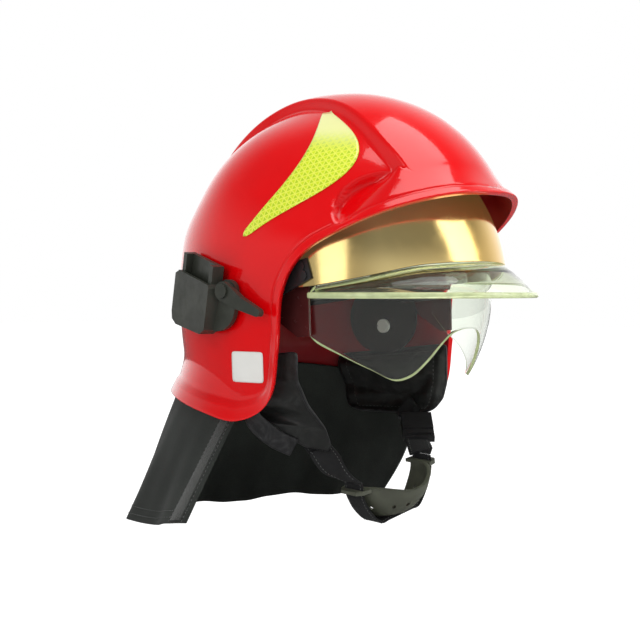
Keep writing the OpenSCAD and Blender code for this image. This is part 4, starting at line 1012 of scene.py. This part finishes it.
def make_liner():
    """Foam ring with a waved lower edge, and crown, both with softly rounded edges."""
    turn, down = 150, 22
    a = np.linspace(0, 2 * math.pi, turn, endpoint=False)
    s = np.linspace(0, 1, down)[:, None] ** 0.9
    n, last = down * turn, (down - 1) * turn
    faces = grid_faces(down, turn, flip=True, close_cols=True) + grid_faces(down, turn, n, close_cols=True)
    for j in range(turn):
        k = (j + 1) % turn
        faces += [(j, k, k + n, j + n), (last + j, last + j + n, last + k + n, last + k)]
    for name, high, low in (("impact_liner", RING_TOP, RING_WAVE * np.cos(2 * a)),
                            ("liner_crown", CROWN_TOP, np.full(turn, CROWN_LOW))):
        e = np.radians(high * (1 - s) + low[None] * s)
        d = np.stack([np.sin(a) * np.cos(e), -np.cos(a) * np.cos(e), np.sin(e)], -1).reshape(-1, 3)
        verts = np.vstack([CENTRE + d * liner_out(d)[:, None], CENTRE + d * liner_in(d)[:, None]])
        foam = soften(fix_normals(make_object(name + "_foam", verts, faces, MATS["foam"])), 1.2, 3, 50)
        finished(foam, "shell", [name])


# Front and back edge of the cheek pads, from top to tab: -1 on the wearer's right, 1 on the left
PAD_FRONT = {-1: [(103, -44, -47), (99, -41, -68), (86, -41, -88), (65, -42, -108), (55, -42, -126)],
             1: [(103, -44, -47), (101, -46, -62), (98, -48, -78), (95, -46, -92), (91, -36, -106)]}
PAD_BACK = {-1: [(93, 64, -58), (93, 62, -70), (91, 42, -86), (91, -12, -103), (71.5, -24, -121)],
            1: [(93, 64, -58), (93, 63, -70), (91, 60, -83), (88, 56, -95), (86, 50, -106)]}
PAD_FAT, PAD_THIN = 9.0, 2.5
TAB_AT = {-1: 0.5, 1: 0.16}
# Pads on the headband: name, middle and half width in degrees, height, points across and thickness
BAND_PADS = (("brow_pad", 0, 50, 0, 70, 6), ("nape_pad", 180, 22, -4, 40, 5))
BAND_PAD_W, BAND_PAD_L, BAND_PAD_HALF = 70.8, 89.8, 14


def pad_plane(side):
    """The direction that a cheek pad's lowest part faces, towards the middle."""
    f, b = np.array(PAD_FRONT[side], float), np.array(PAD_BACK[side], float)
    n = unit(np.cross(f[4] - f[3], b[4] - f[4]))
    return n * (-1 if n[0] > 0 else 1)


def pad_point(side, u, v, k):
    """Points of a cheek pad: u from top to tab, v from front to back; k = 0 outer, 1 inner face."""
    left = side > 0
    v = 0.5 + (v - 0.5) * np.sqrt(1 - 0.5 * np.clip((u - 0.86) / 0.14, 0, 1) ** 3)
    f, b = np.array(PAD_FRONT[side], float), np.array(PAD_BACK[side], float)
    i = np.minimum(3, np.floor(u * 4)).astype(int)
    w = (u * 4 - i)[..., None]
    p = mix(mix(f[i], f[i + 1], w), mix(b[i], b[i + 1], w), v[..., None])
    follow = sm(0, 0.4, v) * (1 - (sm(0.75, 1.2, u) if left else sm(0.42, 0.62, u)))
    off = 2.1 + 7.6 * (1 - sm(-67, -56, p[..., 2]))
    d = side_dir(p[..., 1].ravel(), p[..., 2].ravel())
    wall = (outer(d, 0.0) - d * (WALL + off.ravel()[:, None]))[:, 0].reshape(p.shape[:-1])
    crown = np.sqrt(np.clip(4 * v * (1 - v), 0, 1)) * sm(0, 0.15, u)
    crown = crown * (1 - (sm(0.7, 0.92, u) if left else sm(0.5, 0.85, u)))
    g = sm(0.5, 0.9, u)[..., None]
    d = unit(np.array([-1.0, 0, 0]) * (1 - g) + pad_plane(side) * g)
    p[..., 0] = p[..., 0] * (1 - follow) + wall * follow
    if k:
        p = p + d * (PAD_THIN + PAD_FAT * crown)[..., None]
    return p * (side, 1, 1)


def pad_one(side, u, v, k):
    """One point of a cheek pad."""
    return pad_point(side, np.array([float(u)]), np.array([float(v)]), k)[0]


def smooth_loop(loop, times):
    """A closed path with its corners rounded."""
    for _ in range(times):
        loop = (np.roll(loop, 1, 0) + 2 * loop + np.roll(loop, -1, 0)) / 4
    return loop


def padded_grid(node, far, near, piping, crease, seed):
    """A padded leather piece between two grids, creased, pulled in at its seam and piped round its edge."""
    rows, cols = far.shape[:2]
    name = node + "_leather"
    i, j = np.meshgrid(np.arange(rows), np.arange(cols), indexing="ij")
    rim = np.minimum(np.minimum(i, rows - 1 - i), np.minimum(j, cols - 1 - j))
    d = unit(near - far)
    seam = -0.8 * np.exp(-((rim - 3.5) / 1.0) ** 2)
    lift = wrinkle(near.reshape(-1, 3), 16.0, crease, seed).reshape(rows, cols) * sm(0, 5, rim) + seam
    near = near + d * lift[..., None]
    v, f = shell_of(far, near)
    pad = soften(fix_normals(make_object(name, v, f, MATS["leather"])), 0.7, 2, 40)
    finished(pad, "shell", [node])
    mid = (far + near) / 2
    loop = np.vstack([mid[0], mid[1:, -1], mid[-1, -2::-1], mid[-2:0:-1, 0]])
    pipe = sweep(name + "_piping", smooth_loop(loop, 3), round_profile(1.3, 8), MATS[piping], closed=True)
    finished(fix_normals(pipe), "shell", [])
    edge = (near + d * 0.05)[4:-4, 4:-4]
    return np.vstack([edge[0], edge[:, -1], edge[-1, ::-1], edge[::-1, 0]])


def make_pads():
    """Both cheek pads, the brow pad and the nape pad, with one mesh of stitches."""
    seams = []
    for side, name in ((-1, "cheek_pad_right"), (1, "cheek_pad_left")):
        u, v = np.meshgrid(np.linspace(0, 1, 60), np.linspace(0, 1, 46)[::side], indexing="ij")
        seams.append(padded_grid(name, pad_point(side, u, v, 0), pad_point(side, u, v, 1), "grey_leather",
                                 1.1, side * 3.0))
    for name, middle, half, z_mid, cols, thick in BAND_PADS:
        z, k = np.meshgrid(np.linspace(-1, 1, 24), np.linspace(1, -1, cols), indexing="ij")
        a = np.radians(middle + half * k)
        height = z_mid + BAND_PAD_HALF * z
        t = 1.5 + thick * (1 - (np.abs(z) * 0.82) ** 3) * (1 - (np.abs(k) / 1.08) ** 4)
        far, near = (head_point(np.stack([(BAND_PAD_W - deep) * np.sin(a),
                                          -(BAND_PAD_L - deep) * np.cos(a), height], -1))
                     for deep in (0, t))
        seams.append(padded_grid(name, far, near, "leather", 0.7, 5.0 + middle))
    stitches("pad_stitches", seams, "thread", 3.6)


def webbing(name, path, across, w, t, nodes, key="webbing", cut=None):
    """A strap w wide and t thick along a path."""
    strap = fix_normals(sweep(name, path, strap_profile(w, t), MATS[key], across, cut=cut))
    return finished(strap, "shell", nodes)


def strap_seams(path, across, w, t, inset=2.4):
    """Lines just above both faces of a strap, along its edges."""
    path, across = np.asarray(path, float), np.asarray(across, float)
    tangent = unit(np.gradient(path, axis=0))
    side = unit(across - tangent * np.sum(across * tangent, -1, keepdims=True))
    face = np.cross(side, tangent)
    return [path + side * s * (w / 2 - inset) + face * q * (t / 2 + 0.05) for s in (-1, 1) for q in (-1, 1)]


def turned(x, y, z):
    """The matrix of turns about X, then Y, then Z, in degrees."""
    about_x, about_y, about_z = (Matrix.Rotation(math.radians(angle), 3, axis)
                                 for angle, axis in ((x, "X"), (y, "Y"), (z, "Z")))
    return np.array(about_z @ about_y @ about_x)


# Chin cup: place, turn and axis, radius, height and the dip of its rim. The source's saddle is deeper
CUP_AT = np.array([0.0, -50.0, -148.0])
CUP_TURN = turned(4, -12, -6)
CUP_AXIS = CUP_TURN @ np.array([0, 1.0, 0])
CUP_R, CUP_H, CUP_DIP = 39.0, 30.0, 7.0
STRAP_MID, WEB_W, WEB_T, CROWN_W = -8.0, 20.0, 1.6, 22.0
SLOT_X, SLOT_Z = CUP_R + 2.7, 7


def cup_point(v):
    """Chin cup's frame to helmet frame."""
    return CUP_AT + np.asarray(v, float) @ CUP_TURN.T


def tab_in(side, u, lift=1.7):
    """The middle of a chin strap where it lies on its cheek pad."""
    p, q = (pad_one(side, u, TAB_AT[side], k) for k in (1, 0))
    return p + unit(p - q) * (0.3 + lift + WEB_T / 2)


def tab_across(side):
    """The direction across a cheek pad's lower end."""
    return unit(pad_one(side, 1, 1, 1) - pad_one(side, 1, 0, 1))


def crown_straps():
    """Two straps over the head, from the headband and back. Returns their seams, as the next three do."""
    seams = []
    tilt = math.radians(HEAD_TILT)
    a = np.radians(np.linspace(-6, 186, 90))
    deg = np.degrees(a)
    drop = np.where(deg < 0, deg, np.where(deg > 180, 180 - deg, 0)) * 1.4
    for name, half, top, along, across in (
            ("crown_strap_long", BAND_L - 2.2, 98.0, 1, (1.0, 0, 0)),
            ("crown_strap_cross", BAND_W - 1.8, 94.8, 0, (0, math.cos(tilt), -math.sin(tilt)))):
        s, z = half * np.cos(a), np.clip(top * np.sin(a), 0, None)
        path = head_point(np.stack([(1 - along) * s, along * s, z + drop], -1))
        webbing(name + "_web", path, across, CROWN_W, WEB_T, [name])
        seams += strap_seams(path, np.broadcast_to(across, path.shape), CROWN_W, WEB_T)
    return seams


def right_chin_strap():
    """From the right cheek pad to the cup's right ear."""
    t = np.linspace(0, 1, 40)[:, None]
    hang = mix(tab_in(-1, 1.03, 2.4), cup_point((-SLOT_X, STRAP_MID, SLOT_Z)), t)
    path = np.vstack([tab_in(-1, 0.96, 1.9), hang + np.array([-3, -1, -2]) * 4 * t * (1 - t)])
    across = np.vstack([tab_across(-1), unit(mix(tab_across(-1), CUP_AXIS, sm(0, 1, t)))])
    webbing("chin_strap_right_web", path, across, WEB_W, WEB_T, ["chin_strap_right"], cut=CUP_AXIS)
    return strap_seams(path[:-4], across[:-4], WEB_W, WEB_T)


def left_chin_strap():
    """From the left cheek pad to the cup's left ear, in two lengths with the buckle between them."""
    top, end = tab_in(1, 1), cup_point((SLOT_X, STRAP_MID, SLOT_Z))
    run = unit(end - top)
    buckle = mix(top, end, 0.3)
    into = pad_plane(1)
    slide = unit(run - into * (run @ into))
    flat = unit(np.array([-run[1], run[0], 0]))
    flat = flat * np.sign(flat @ tab_across(1))
    across = unit(np.cross(slide, into))
    top_end, low_start = buckle - run * 13.3, buckle + run * 27.3
    upper = spline([top - slide * 8, top, mix(top, top_end, 0.5), top_end], 8)
    t = np.linspace(0, 1, 16)[:, None]
    turn = np.vstack([np.repeat(across[None], 9, 0), unit(mix(across, flat, t))])
    webbing("chin_strap_left_web", upper, turn[:len(upper)], WEB_W, WEB_T, ["chin_strap_left"])
    t = np.linspace(0, 1, 24)[:, None]
    path, across = mix(low_start, end, t), unit(mix(flat, CUP_AXIS, sm(0, 1, t)))
    webbing("chin_strap_left_end", path, across, WEB_W, WEB_T, [], cut=CUP_AXIS)
    return strap_seams(path[:-2], across[:-2], WEB_W, WEB_T)


def cup_strap():
    """Under the cup, from ear to ear."""
    h, r = CUP_H, CUP_R
    edge = spline([(r + 2.7, 5.9), (r + 2.6, -3), (r + 0.6, -h * 0.32), (r - 5, -h * 0.66),
                   (r - 15.5, -h - 0.9), (14, -h - 1.4)], 8, (r + 2.7, 12), (0, -h - 1.4))
    loop = np.vstack([edge, [(0, -h - 1.4)], edge[::-1] * (-1, 1)])
    path = cup_point(np.stack([loop[:, 0], np.full(len(loop), STRAP_MID), loop[:, 1]], -1))
    webbing("cup_strap_web", path, CUP_AXIS, WEB_W, WEB_T, ["cup_strap"])
    return strap_seams(path, np.broadcast_to(CUP_AXIS, path.shape), WEB_W, WEB_T)


def leather_strap():
    """Creased leather strap from the shell's right lobe."""
    wall = HALF_W - WALL
    path = spline([(3 - wall, -4, -90), (6 - wall, -8, -101), (21.3 - wall, -13.4, -114.3),
                   (36 - wall, -21.3, -122.4)], 16, (2 - wall, -2, -80), (50 - wall, -30, -130))
    t = np.linspace(0, 1, len(path))[:, None]
    across = unit(mix((0, 1, -0.1), (-0.4, 0.5, -0.77), sm(0, 0.6, t)))
    path = path + unit(np.cross(across, np.gradient(path, axis=0))) * wrinkle(path, 7.0, 0.7, 2.0)[:, None]
    webbing("nape_strap_leather", path, across, 15.0, 1.8, ["nape_strap_right"], "grey_leather")


def make_straps():
    """Crown straps, chin straps, the strap under the cup and the leather strap, with their stitches."""
    seams = crown_straps() + right_chin_strap() + left_chin_strap() + cup_strap()
    leather_strap()
    stitches("strap_stitches", seams, "thread", 3.0, (1.0, 0.26, 0.26))


# Neck curtain and sticker
# The curtain hangs from between two points of LIP down to its hem
CURTAIN_T = 3.0
HEM_W, HEM_Y, HEM_L, HEM_Z, HEM_DROP = 130, 43, 148, -182, 15
CURTAIN_FROM, CURTAIN_TO = 8, 12
WAVE_DEEP, FOLD_DEEP, BELLY, FRONT_BULGE = 4.0, 1.1, 5, 15
HEM_SEAMS, SIDE_SEAMS = (0.955, 0.905), (0.985, 0.915)
THREAD_LIFT = 0.12


def curtain_point(u, v, off):
    """A point of the curtain: u from the right front edge (-1) round the nape to the left, v down."""
    s = 1 - np.abs(u)
    x = (CURTAIN_FROM + (CURTAIN_TO - CURTAIN_FROM) * s) * LIP_FINE
    i = np.minimum(len(lip_dir) - 2, np.floor(x)).astype(int)
    e = unit(mix(lip_dir[i], lip_dir[i + 1], (x - i)[..., None]))
    d = slerp(POLE, e, 0.935)
    t = inner(d.reshape(-1, 3), 2.1).reshape(d.shape)
    a = s * math.pi / 2
    h = np.stack([HEM_W * np.cos(a), HEM_Y + HEM_L * np.sin(a), HEM_Z - HEM_DROP * np.sin(a)], -1)
    out = unit(np.stack([np.cos(a), np.sin(a), np.full_like(a, 0.35)], -1))
    wave = WAVE_DEEP * v * v * np.sin(np.radians(s * 900 + 60))
    wave = wave + FOLD_DEEP * v * np.sin(s * 37 + 3 * v) * np.sin(s * 11) * sm(0.02, 0.12, s)
    q = mix(t, h, v[..., None]) + out * (wave + off + BELLY * v * (1 - v))[..., None]
    q[..., 0] = np.where(np.abs(u) < 1e-9, 0, np.where(u < 0, -q[..., 0], q[..., 0]))
    # The left front edge bulges forward
    q[..., 1] -= FRONT_BULGE * np.sin(math.pi * v) * sm(0.3, 0, s) * (u > 0)
    return q


def curtain_seams():
    """Lines just above the cloth: two along the hem and two along each front edge."""
    seams = [curtain_point(np.linspace(-0.985, 0.985, 400), np.full(400, v), THREAD_LIFT) for v in HEM_SEAMS]
    down = np.linspace(0.1, 0.985, 80)
    return seams + [curtain_point(np.full(80, side * u), down, THREAD_LIFT)
                    for side in (-1, 1) for u in SIDE_SEAMS]


def curtain_tape(name, side, nodes):
    """A loop tape along one front edge."""
    u, v = np.meshgrid(side * np.linspace(0.925, 0.98, 12)[::side], np.linspace(0.12, 0.98, 60),
                       indexing="xy")
    verts, faces = shell_of(curtain_point(u, v, 1.2), curtain_point(u, v, 0.2))
    tape = soften(fix_normals(make_object(name, verts, faces, MATS["tape"])), 0.4)
    return finished(tape, "shell", nodes)


def make_curtain():
    """The hung cloth with its stitches and tapes."""
    u, v = np.meshgrid(np.linspace(-1, 1, 241), np.linspace(0, 1, 60), indexing="xy")
    out = curtain_point(u, v, 0)
    verts, faces = shell_of(out, curtain_point(u, v, -CURTAIN_T))
    cloth = soften(fix_normals(make_object("neck_curtain_cloth", verts, faces, MATS["curtain"])), 1.1, 3, 50)
    finished(cloth, "shell", ["neck_curtain"])
    thread = stitches("curtain_stitches", curtain_seams(), "thread", 3.6, (1.3, 0.32, 0.32))
    tapes = [curtain_tape("curtain_tape_right", -1, ["curtain_tape"]),
             curtain_tape("curtain_tape_left", 1, [])]


STICKER_Y, STICKER_Z, STICKER_W, STICKER_H, STICKER_POWER = -7, -58, 16.2, 11.8, 14


def make_label():
    """Plain sticker with rounded corners on the wearer's right."""
    turn, rings = 72, 10
    a = np.linspace(0, 2 * math.pi, turn, endpoint=False)
    c, s = np.cos(a), np.sin(a)
    r = 1 / (np.abs(c) ** STICKER_POWER + np.abs(s) ** STICKER_POWER) ** (1 / STICKER_POWER)
    k = np.linspace(0.02, 1, rings)[:, None]
    y, z = STICKER_Y + STICKER_W * k * (r * c)[None], STICKER_Z + STICKER_H * k * (r * s)[None]
    d = side_dir(y.ravel(), z.ravel()) * (-1, 1, 1)
    n, last = rings * turn, (rings - 1) * turn
    faces = grid_faces(rings, turn, flip=True, close_cols=True) + grid_faces(rings, turn, n, close_cols=True)
    faces += [tuple(range(turn)), tuple(range(n + turn - 1, n - 1, -1))]
    faces += [(last + j, last + (j + 1) % turn, last + (j + 1) % turn + n, last + j + n)
              for j in range(turn)]
    label = make_object("side_sticker", np.vstack([outer(d, 0.6), outer(d, 0.3)]), faces, MATS["label"])
    finished(fix_normals(label), "shell", ["side_label"])


# Chin cup
# Outline and thickness of the ears, the slots for the strap, and the vents with their places in degrees
EAR = [(CUP_R - 3, -21), (CUP_R + 5, -20), (CUP_R + 9.5, -16), (CUP_R + 9.5, 0), (CUP_R + 5, 4),
       (CUP_R - 3, 5)]
EAR_LOW, EAR_HIGH = -1.3, 1.5
SLOT_HALF_W, SLOT_HALF_L, SLOT_CUT = 1.2, 10.4, 6
VENTS = (203, 236, 257, 283, 304, 337)
VENT_R, VENT_LONG, VENT_SIDES = 1.8, 24.0, 20


def bowl(section):
    """A half turn of a section, with its rim dipped towards the middle."""
    a = np.radians(np.linspace(180, 360, 97))
    dip = CUP_DIP * (1 - sm(0.1, 0.95, np.abs(np.cos(a))))[None]
    z = section[:, None, 1] * (1 - dip / CUP_H) - dip + 1.8
    return np.stack([section[:, None, 0] * np.cos(a), section[:, None, 0] * np.sin(a), z], -1)


def prism(name, outline, low, high, side=1):
    """A prism over an outline in X and Y, mirrored for side -1."""
    n = len(outline)
    v = [(side * x, y, z) for z in (low, high) for x, y in outline]
    f = [tuple(range(n)), tuple(range(2 * n - 1, n - 1, -1))]
    f += [(k, k + n, (k + 1) % n + n, (k + 1) % n) for k in range(n)]
    return make_object(name, v, f, MATS["cup"], smooth=False)


def vent_tool(degrees):
    """A cylinder that cuts one vent hole across the cup's wall."""
    circle = [(VENT_R * math.cos(t), VENT_R * math.sin(t))
              for t in np.linspace(0, 2 * math.pi, VENT_SIDES, endpoint=False)]
    hole = prism("hole", circle, -VENT_LONG / 2, VENT_LONG / 2)
    hole.data.transform(Matrix.Translation((0, 0, -CUP_H * 0.6 * 0.001))
                        @ Matrix.Rotation(math.radians(degrees), 4, "Z")
                        @ Matrix.Translation(((CUP_R - 8) * 0.001, 0, 0))
                        @ Matrix.Rotation(math.pi / 2, 4, "Y"))
    return fix_normals(hole)


def join(objects):
    """Joins objects into the first one."""
    with bpy.context.temp_override(active_object=objects[0], selected_editable_objects=objects,
                                   selected_objects=objects, object=objects[0]):
        bpy.ops.object.join()
    return objects[0]


def make_cup():
    """Rubber chin cup: a half bowl with a beaded, dipped rim, vent holes and slotted ears."""
    r, h = CUP_R, CUP_H
    outside = spline([(r + 1.2, 0), (r, -1.6), (r - 1.5, -h * 0.3), (r - 7, -h * 0.65),
                      (r - 17, -h), (10, -h - 0.4), (0.01, -h - 0.4)], 6)
    inside = spline([(r - 2.2, 0), (r - 2.6, -1.6), (r - 4, -h * 0.28), (r - 9.5, -h * 0.6),
                     (r - 18, -h + 2.2), (10, -h + 1.8), (0.01, -h + 1.8)], 6)
    v, f = shell_of(bowl(outside), bowl(inside))
    bowl_object = fix_normals(make_object("cup_bowl", v, f, MATS["cup"]))
    cup = join([bowl_object] + [fix_normals(prism("cup_ear", EAR, EAR_LOW, EAR_HIGH, s)) for s in (-1, 1)])
    near, far = SLOT_X - SLOT_HALF_W, SLOT_X + SLOT_HALF_W
    low, high = STRAP_MID - SLOT_HALF_L, STRAP_MID + SLOT_HALF_L
    slot = [(near, low), (far, low), (far, high), (near, high)]
    tool = join([vent_tool(degrees) for degrees in VENTS]
                + [fix_normals(prism("slot", slot, -SLOT_CUT, SLOT_CUT, s)) for s in (-1, 1)])
    b = cup.modifiers.new("cut", "BOOLEAN")
    b.operation, b.solver, b.object, b.use_self = "DIFFERENCE", "EXACT", tool, True
    apply_modifiers(cup)
    bpy.data.objects.remove(tool)
    soften(cup, 0.35, 2, 40)
    m = np.eye(4)
    m[:3, :3], m[:3, 3] = CUP_TURN, CUP_AT * 0.001
    cup.data.transform(Matrix(m))
    cup.name = "chin_cup_rubber"
    finished(cup, "shell", ["chin_cup"])


def make_hardware():
    """Finishes for the pieces whose CAD shape stays."""
    for name in ("visor_pivots", "ratchet_housing", "ratchet_knob", "band_mounts", "headband", "buckle_body",
                 "buckle_tongue", "ear_plate_right", "ear_plate_left"):
        paint_node(name, "black", 0.5)
    for name, key, edge in (("pivot_spacers", "grey", 0.3), ("plate_screws", "white", 0.3),
                            ("pivot_screws", "steel", 0.3), ("lever_pin", "bracket", 0.3),
                            ("lamp_bracket", "bracket", 0.7), ("lamp_lever", "bracket", 0.6),
                            ("bracket_pad", "rubber", 0), ("buckle_button", "button", 0.4)):
        paint_node(name, key, edge)


# Camera, lights and floor
PHOTO_PX, FOCAL_PX, SENSOR = 640, 1507, 36
ORIGIN_PX = (333, 291)
VIEW_TURN, VIEW_RISE, VIEW_DIST = -51.5, 1.2, 1.25
LIGHT_LEVEL, BELT_HEIGHT = 0.54, 0.1
FLOOR_GAP, FLOOR_HALF, FLOOR_GLOW, FLOOR_MIRROR, FLOOR_SEEN = 0.5, 6000, 1.35, 0.10, 0.85
# Place, target, size in metres and power in watts
LAMPS = {"softbox_top": ((0.1, -0.5, 1.5), (0, -0.03, 0.05), (1.3, 1.0), 13),
         "softbox_front": ((0.9, -1.4, 0.6), (0, -0.03, 0), (0.9, 1.2), 9),
         "softbox_side": ((-1.7, -0.2, 0.5), (0, 0, 0), (0.7, 1.1), 5)}


def make_camera(back, right, up):
    """The photograph's camera: the frame's origin comes to ORIGIN_PX in its picture."""
    cam = bpy.data.cameras.new("camera")
    cam.sensor_width = SENSOR
    cam.lens = FOCAL_PX / PHOTO_PX * SENSOR
    view = bpy.data.objects.new("camera", cam)
    bpy.context.scene.collection.objects.link(view)
    aside, above = ORIGIN_PX[0] - PHOTO_PX / 2, PHOTO_PX / 2 - ORIGIN_PX[1]
    view.location = (back * VIEW_DIST - right * (aside / FOCAL_PX * VIEW_DIST)
                     - up * (above / FOCAL_PX * VIEW_DIST))
    view.rotation_mode = "QUATERNION"
    view.rotation_quaternion = Matrix((right, up, back)).transposed().to_quaternion()
    bpy.context.scene.camera = view


def make_world(back):
    """White for the camera, grey as a light, and dark in mirrors on the camera's side but for a belt."""
    world = bpy.data.worlds.new("studio")
    bpy.context.scene.world = world
    world.use_nodes = True
    t = Tree(world.node_tree)
    level = t.span(t.seen(), 0, 1, LIGHT_LEVEL, 1.0, False)
    x, y, z = t.split(t.coords("Generated"))
    ahead = t.math("ADD", t.math("MULTIPLY", x, back.x), t.math("MULTIPLY", y, back.y))
    belt = t.span(t.math("ABSOLUTE", t.math("SUBTRACT", z, BELT_HEIGHT)), 0.1, 0.4, 0.38, 0.0)
    dim = t.math("SUBTRACT", t.span(ahead, -1.0, -0.2, 0.2, 0.87), belt)
    t.feed(world.node_tree.nodes["Background"], Color=(1.0, 1.0, 1.0),
           Strength=t.math("SUBTRACT", level, t.math("MULTIPLY", t.mirror(), dim)))


def make_floor():
    """A pale floor that glows for the camera and stays dim in mirrors."""
    z, s = CAD_BOX[0][2] * 1000 - FLOOR_GAP, FLOOR_HALF
    corners = [(-s, -s, z), (s, -s, z), (s, s, z), (-s, s, z)]
    floor = make_object("floor", corners, [(0, 1, 2, 3)], smooth=False)
    m, t, b, out = material("pale_floor")
    t.feed(b, Base_Color=(0.9, 0.9, 0.9), Roughness=0.9, Specular_IOR_Level=0.1)
    glow = t.node("ShaderNodeEmission")
    t.feed(glow, Strength=t.span(t.mirror(), 0, 1, FLOOR_GLOW, FLOOR_MIRROR, False))
    t.surface(t.math("MULTIPLY", t.seen(), FLOOR_SEEN), b, glow, out)
    floor.data.materials.append(m)


def make_lamp(name, place, target, size, power):
    """A soft box at a place, turned to its target."""
    data = bpy.data.lights.new(name, "AREA")
    data.shape, data.size, data.size_y, data.energy = "RECTANGLE", size[0], size[1], power
    obj = bpy.data.objects.new(name, data)
    bpy.context.scene.collection.objects.link(obj)
    obj.location = place
    obj.rotation_mode = "QUATERNION"
    obj.rotation_quaternion = (Vector(target) - Vector(place)).normalized().to_track_quat("-Z", "Y")


def make_stage():
    """Camera, world, floor and lamps."""
    bpy.context.scene.view_settings.view_transform = "Standard"
    az, el = math.radians(VIEW_TURN), math.radians(VIEW_RISE)
    back = Vector((math.sin(az) * math.cos(el), -math.cos(az) * math.cos(el), math.sin(el)))
    right = Vector((math.cos(az), math.sin(az), 0))
    make_camera(back, right, back.cross(right))
    make_world(back)
    make_floor()
    for name, settings in LAMPS.items():
        make_lamp(name, *settings)


# Add-on
class HELMET_PG_finish(bpy.types.PropertyGroup):
    """Sizes and colours of the finished surfaces."""
    paint: bpy.props.FloatVectorProperty(
        name="Paint", description="Colour of the shell's paint", subtype="COLOR", size=3,
        min=0, max=1, default=(0.88, 0.0012, 0.0035))
    film_cell: bpy.props.FloatProperty(
        name="Film cell", description="Height of one prism triangle of the reflective film",
        unit="LENGTH", min=0.001, max=0.01, default=0.0041)
    bead: bpy.props.FloatProperty(
        name="Edge bead", description="How far the bead stands out along the shell's edge",
        unit="LENGTH", min=0.0, max=0.003, default=0.0018)


class HELMET_OT_stage(bpy.types.Operator):
    """Makes the camera, the lights, the floor and the world"""
    bl_idname = "helmet.stage"
    bl_label = "Stage"

    def execute(self, context):
        make_stage()
        return {"FINISHED"}


class HELMET_OT_materials(bpy.types.Operator):
    """Makes every procedural finish"""
    bl_idname = "helmet.materials"
    bl_label = "Materials"

    def execute(self, context):
        finish = context.scene.helmet_finish
        build_materials(tuple(finish.paint[:3]), finish.film_cell * 1000)
        return {"FINISHED"}


class HELMET_OT_shell(bpy.types.Operator):
    """Makes the painted shell with its crest, panels and edge bead"""
    bl_idname = "helmet.shell"
    bl_label = "Shell"

    def execute(self, context):
        make_shell(context.scene.helmet_finish.bead * 1000)
        return {"FINISHED"}


class HELMET_OT_films(bpy.types.Operator):
    """Makes the reflective film on both side panels"""
    bl_idname = "helmet.films"
    bl_label = "Films"

    def execute(self, context):
        make_films()
        return {"FINISHED"}


class HELMET_OT_visors(bpy.types.Operator):
    """Makes the gold face shield and the clear eye visor"""
    bl_idname = "helmet.visors"
    bl_label = "Visors"

    def execute(self, context):
        make_visors()
        return {"FINISHED"}


class HELMET_OT_liner(bpy.types.Operator):
    """Makes the foam ring and crown"""
    bl_idname = "helmet.liner"
    bl_label = "Liner"

    def execute(self, context):
        make_liner()
        return {"FINISHED"}


class HELMET_OT_pads(bpy.types.Operator):
    """Makes the leather pads with their piping and stitches"""
    bl_idname = "helmet.pads"
    bl_label = "Pads"

    def execute(self, context):
        make_pads()
        return {"FINISHED"}


class HELMET_OT_straps(bpy.types.Operator):
    """Makes the webbing straps and the leather strap"""
    bl_idname = "helmet.straps"
    bl_label = "Straps"

    def execute(self, context):
        make_straps()
        return {"FINISHED"}


class HELMET_OT_cup(bpy.types.Operator):
    """Makes the rubber chin cup"""
    bl_idname = "helmet.cup"
    bl_label = "Chin cup"

    def execute(self, context):
        make_cup()
        return {"FINISHED"}


class HELMET_OT_curtain(bpy.types.Operator):
    """Makes the neck curtain with its tape and stitches"""
    bl_idname = "helmet.curtain"
    bl_label = "Curtain"

    def execute(self, context):
        make_curtain()
        return {"FINISHED"}


class HELMET_OT_label(bpy.types.Operator):
    """Makes the plain sticker"""
    bl_idname = "helmet.label"
    bl_label = "Label"

    def execute(self, context):
        make_label()
        return {"FINISHED"}


class HELMET_OT_hardware(bpy.types.Operator):
    """Finishes the brackets, screws, pivots and buckle"""
    bl_idname = "helmet.hardware"
    bl_label = "Hardware"

    def execute(self, context):
        make_hardware()
        return {"FINISHED"}


class HELMET_PT_sidebar(bpy.types.Panel):
    """Lists the sizes, the colour and the steps"""
    bl_label = "Fire helmet"
    bl_idname = "HELMET_PT_sidebar"
    bl_space_type = "VIEW_3D"
    bl_region_type = "UI"
    bl_category = "Helmet"

    def draw(self, context):
        for key in ("paint", "film_cell", "bead"):
            self.layout.prop(context.scene.helmet_finish, key)
        for step in STEPS:
            self.layout.operator(step.bl_idname)


STEPS = (HELMET_OT_stage, HELMET_OT_materials, HELMET_OT_shell, HELMET_OT_films,
         HELMET_OT_visors, HELMET_OT_liner, HELMET_OT_pads, HELMET_OT_straps,
         HELMET_OT_cup, HELMET_OT_curtain, HELMET_OT_label, HELMET_OT_hardware)
CLASSES = (HELMET_PG_finish, *STEPS, HELMET_PT_sidebar)


def register():
    for c in CLASSES:
        bpy.utils.register_class(c)
    bpy.types.Scene.helmet_finish = bpy.props.PointerProperty(type=HELMET_PG_finish)


def unregister():
    del bpy.types.Scene.helmet_finish
    for c in reversed(CLASSES):
        bpy.utils.unregister_class(c)


def main():
    register()
    bpy.ops.helmet.stage()
    bpy.ops.helmet.materials()
    bpy.ops.helmet.shell()
    bpy.ops.helmet.films()
    bpy.ops.helmet.visors()
    bpy.ops.helmet.liner()
    bpy.ops.helmet.pads()
    bpy.ops.helmet.straps()
    bpy.ops.helmet.cup()
    bpy.ops.helmet.curtain()
    bpy.ops.helmet.label()
    bpy.ops.helmet.hardware()
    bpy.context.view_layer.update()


if __name__ == "__main__":
    main()
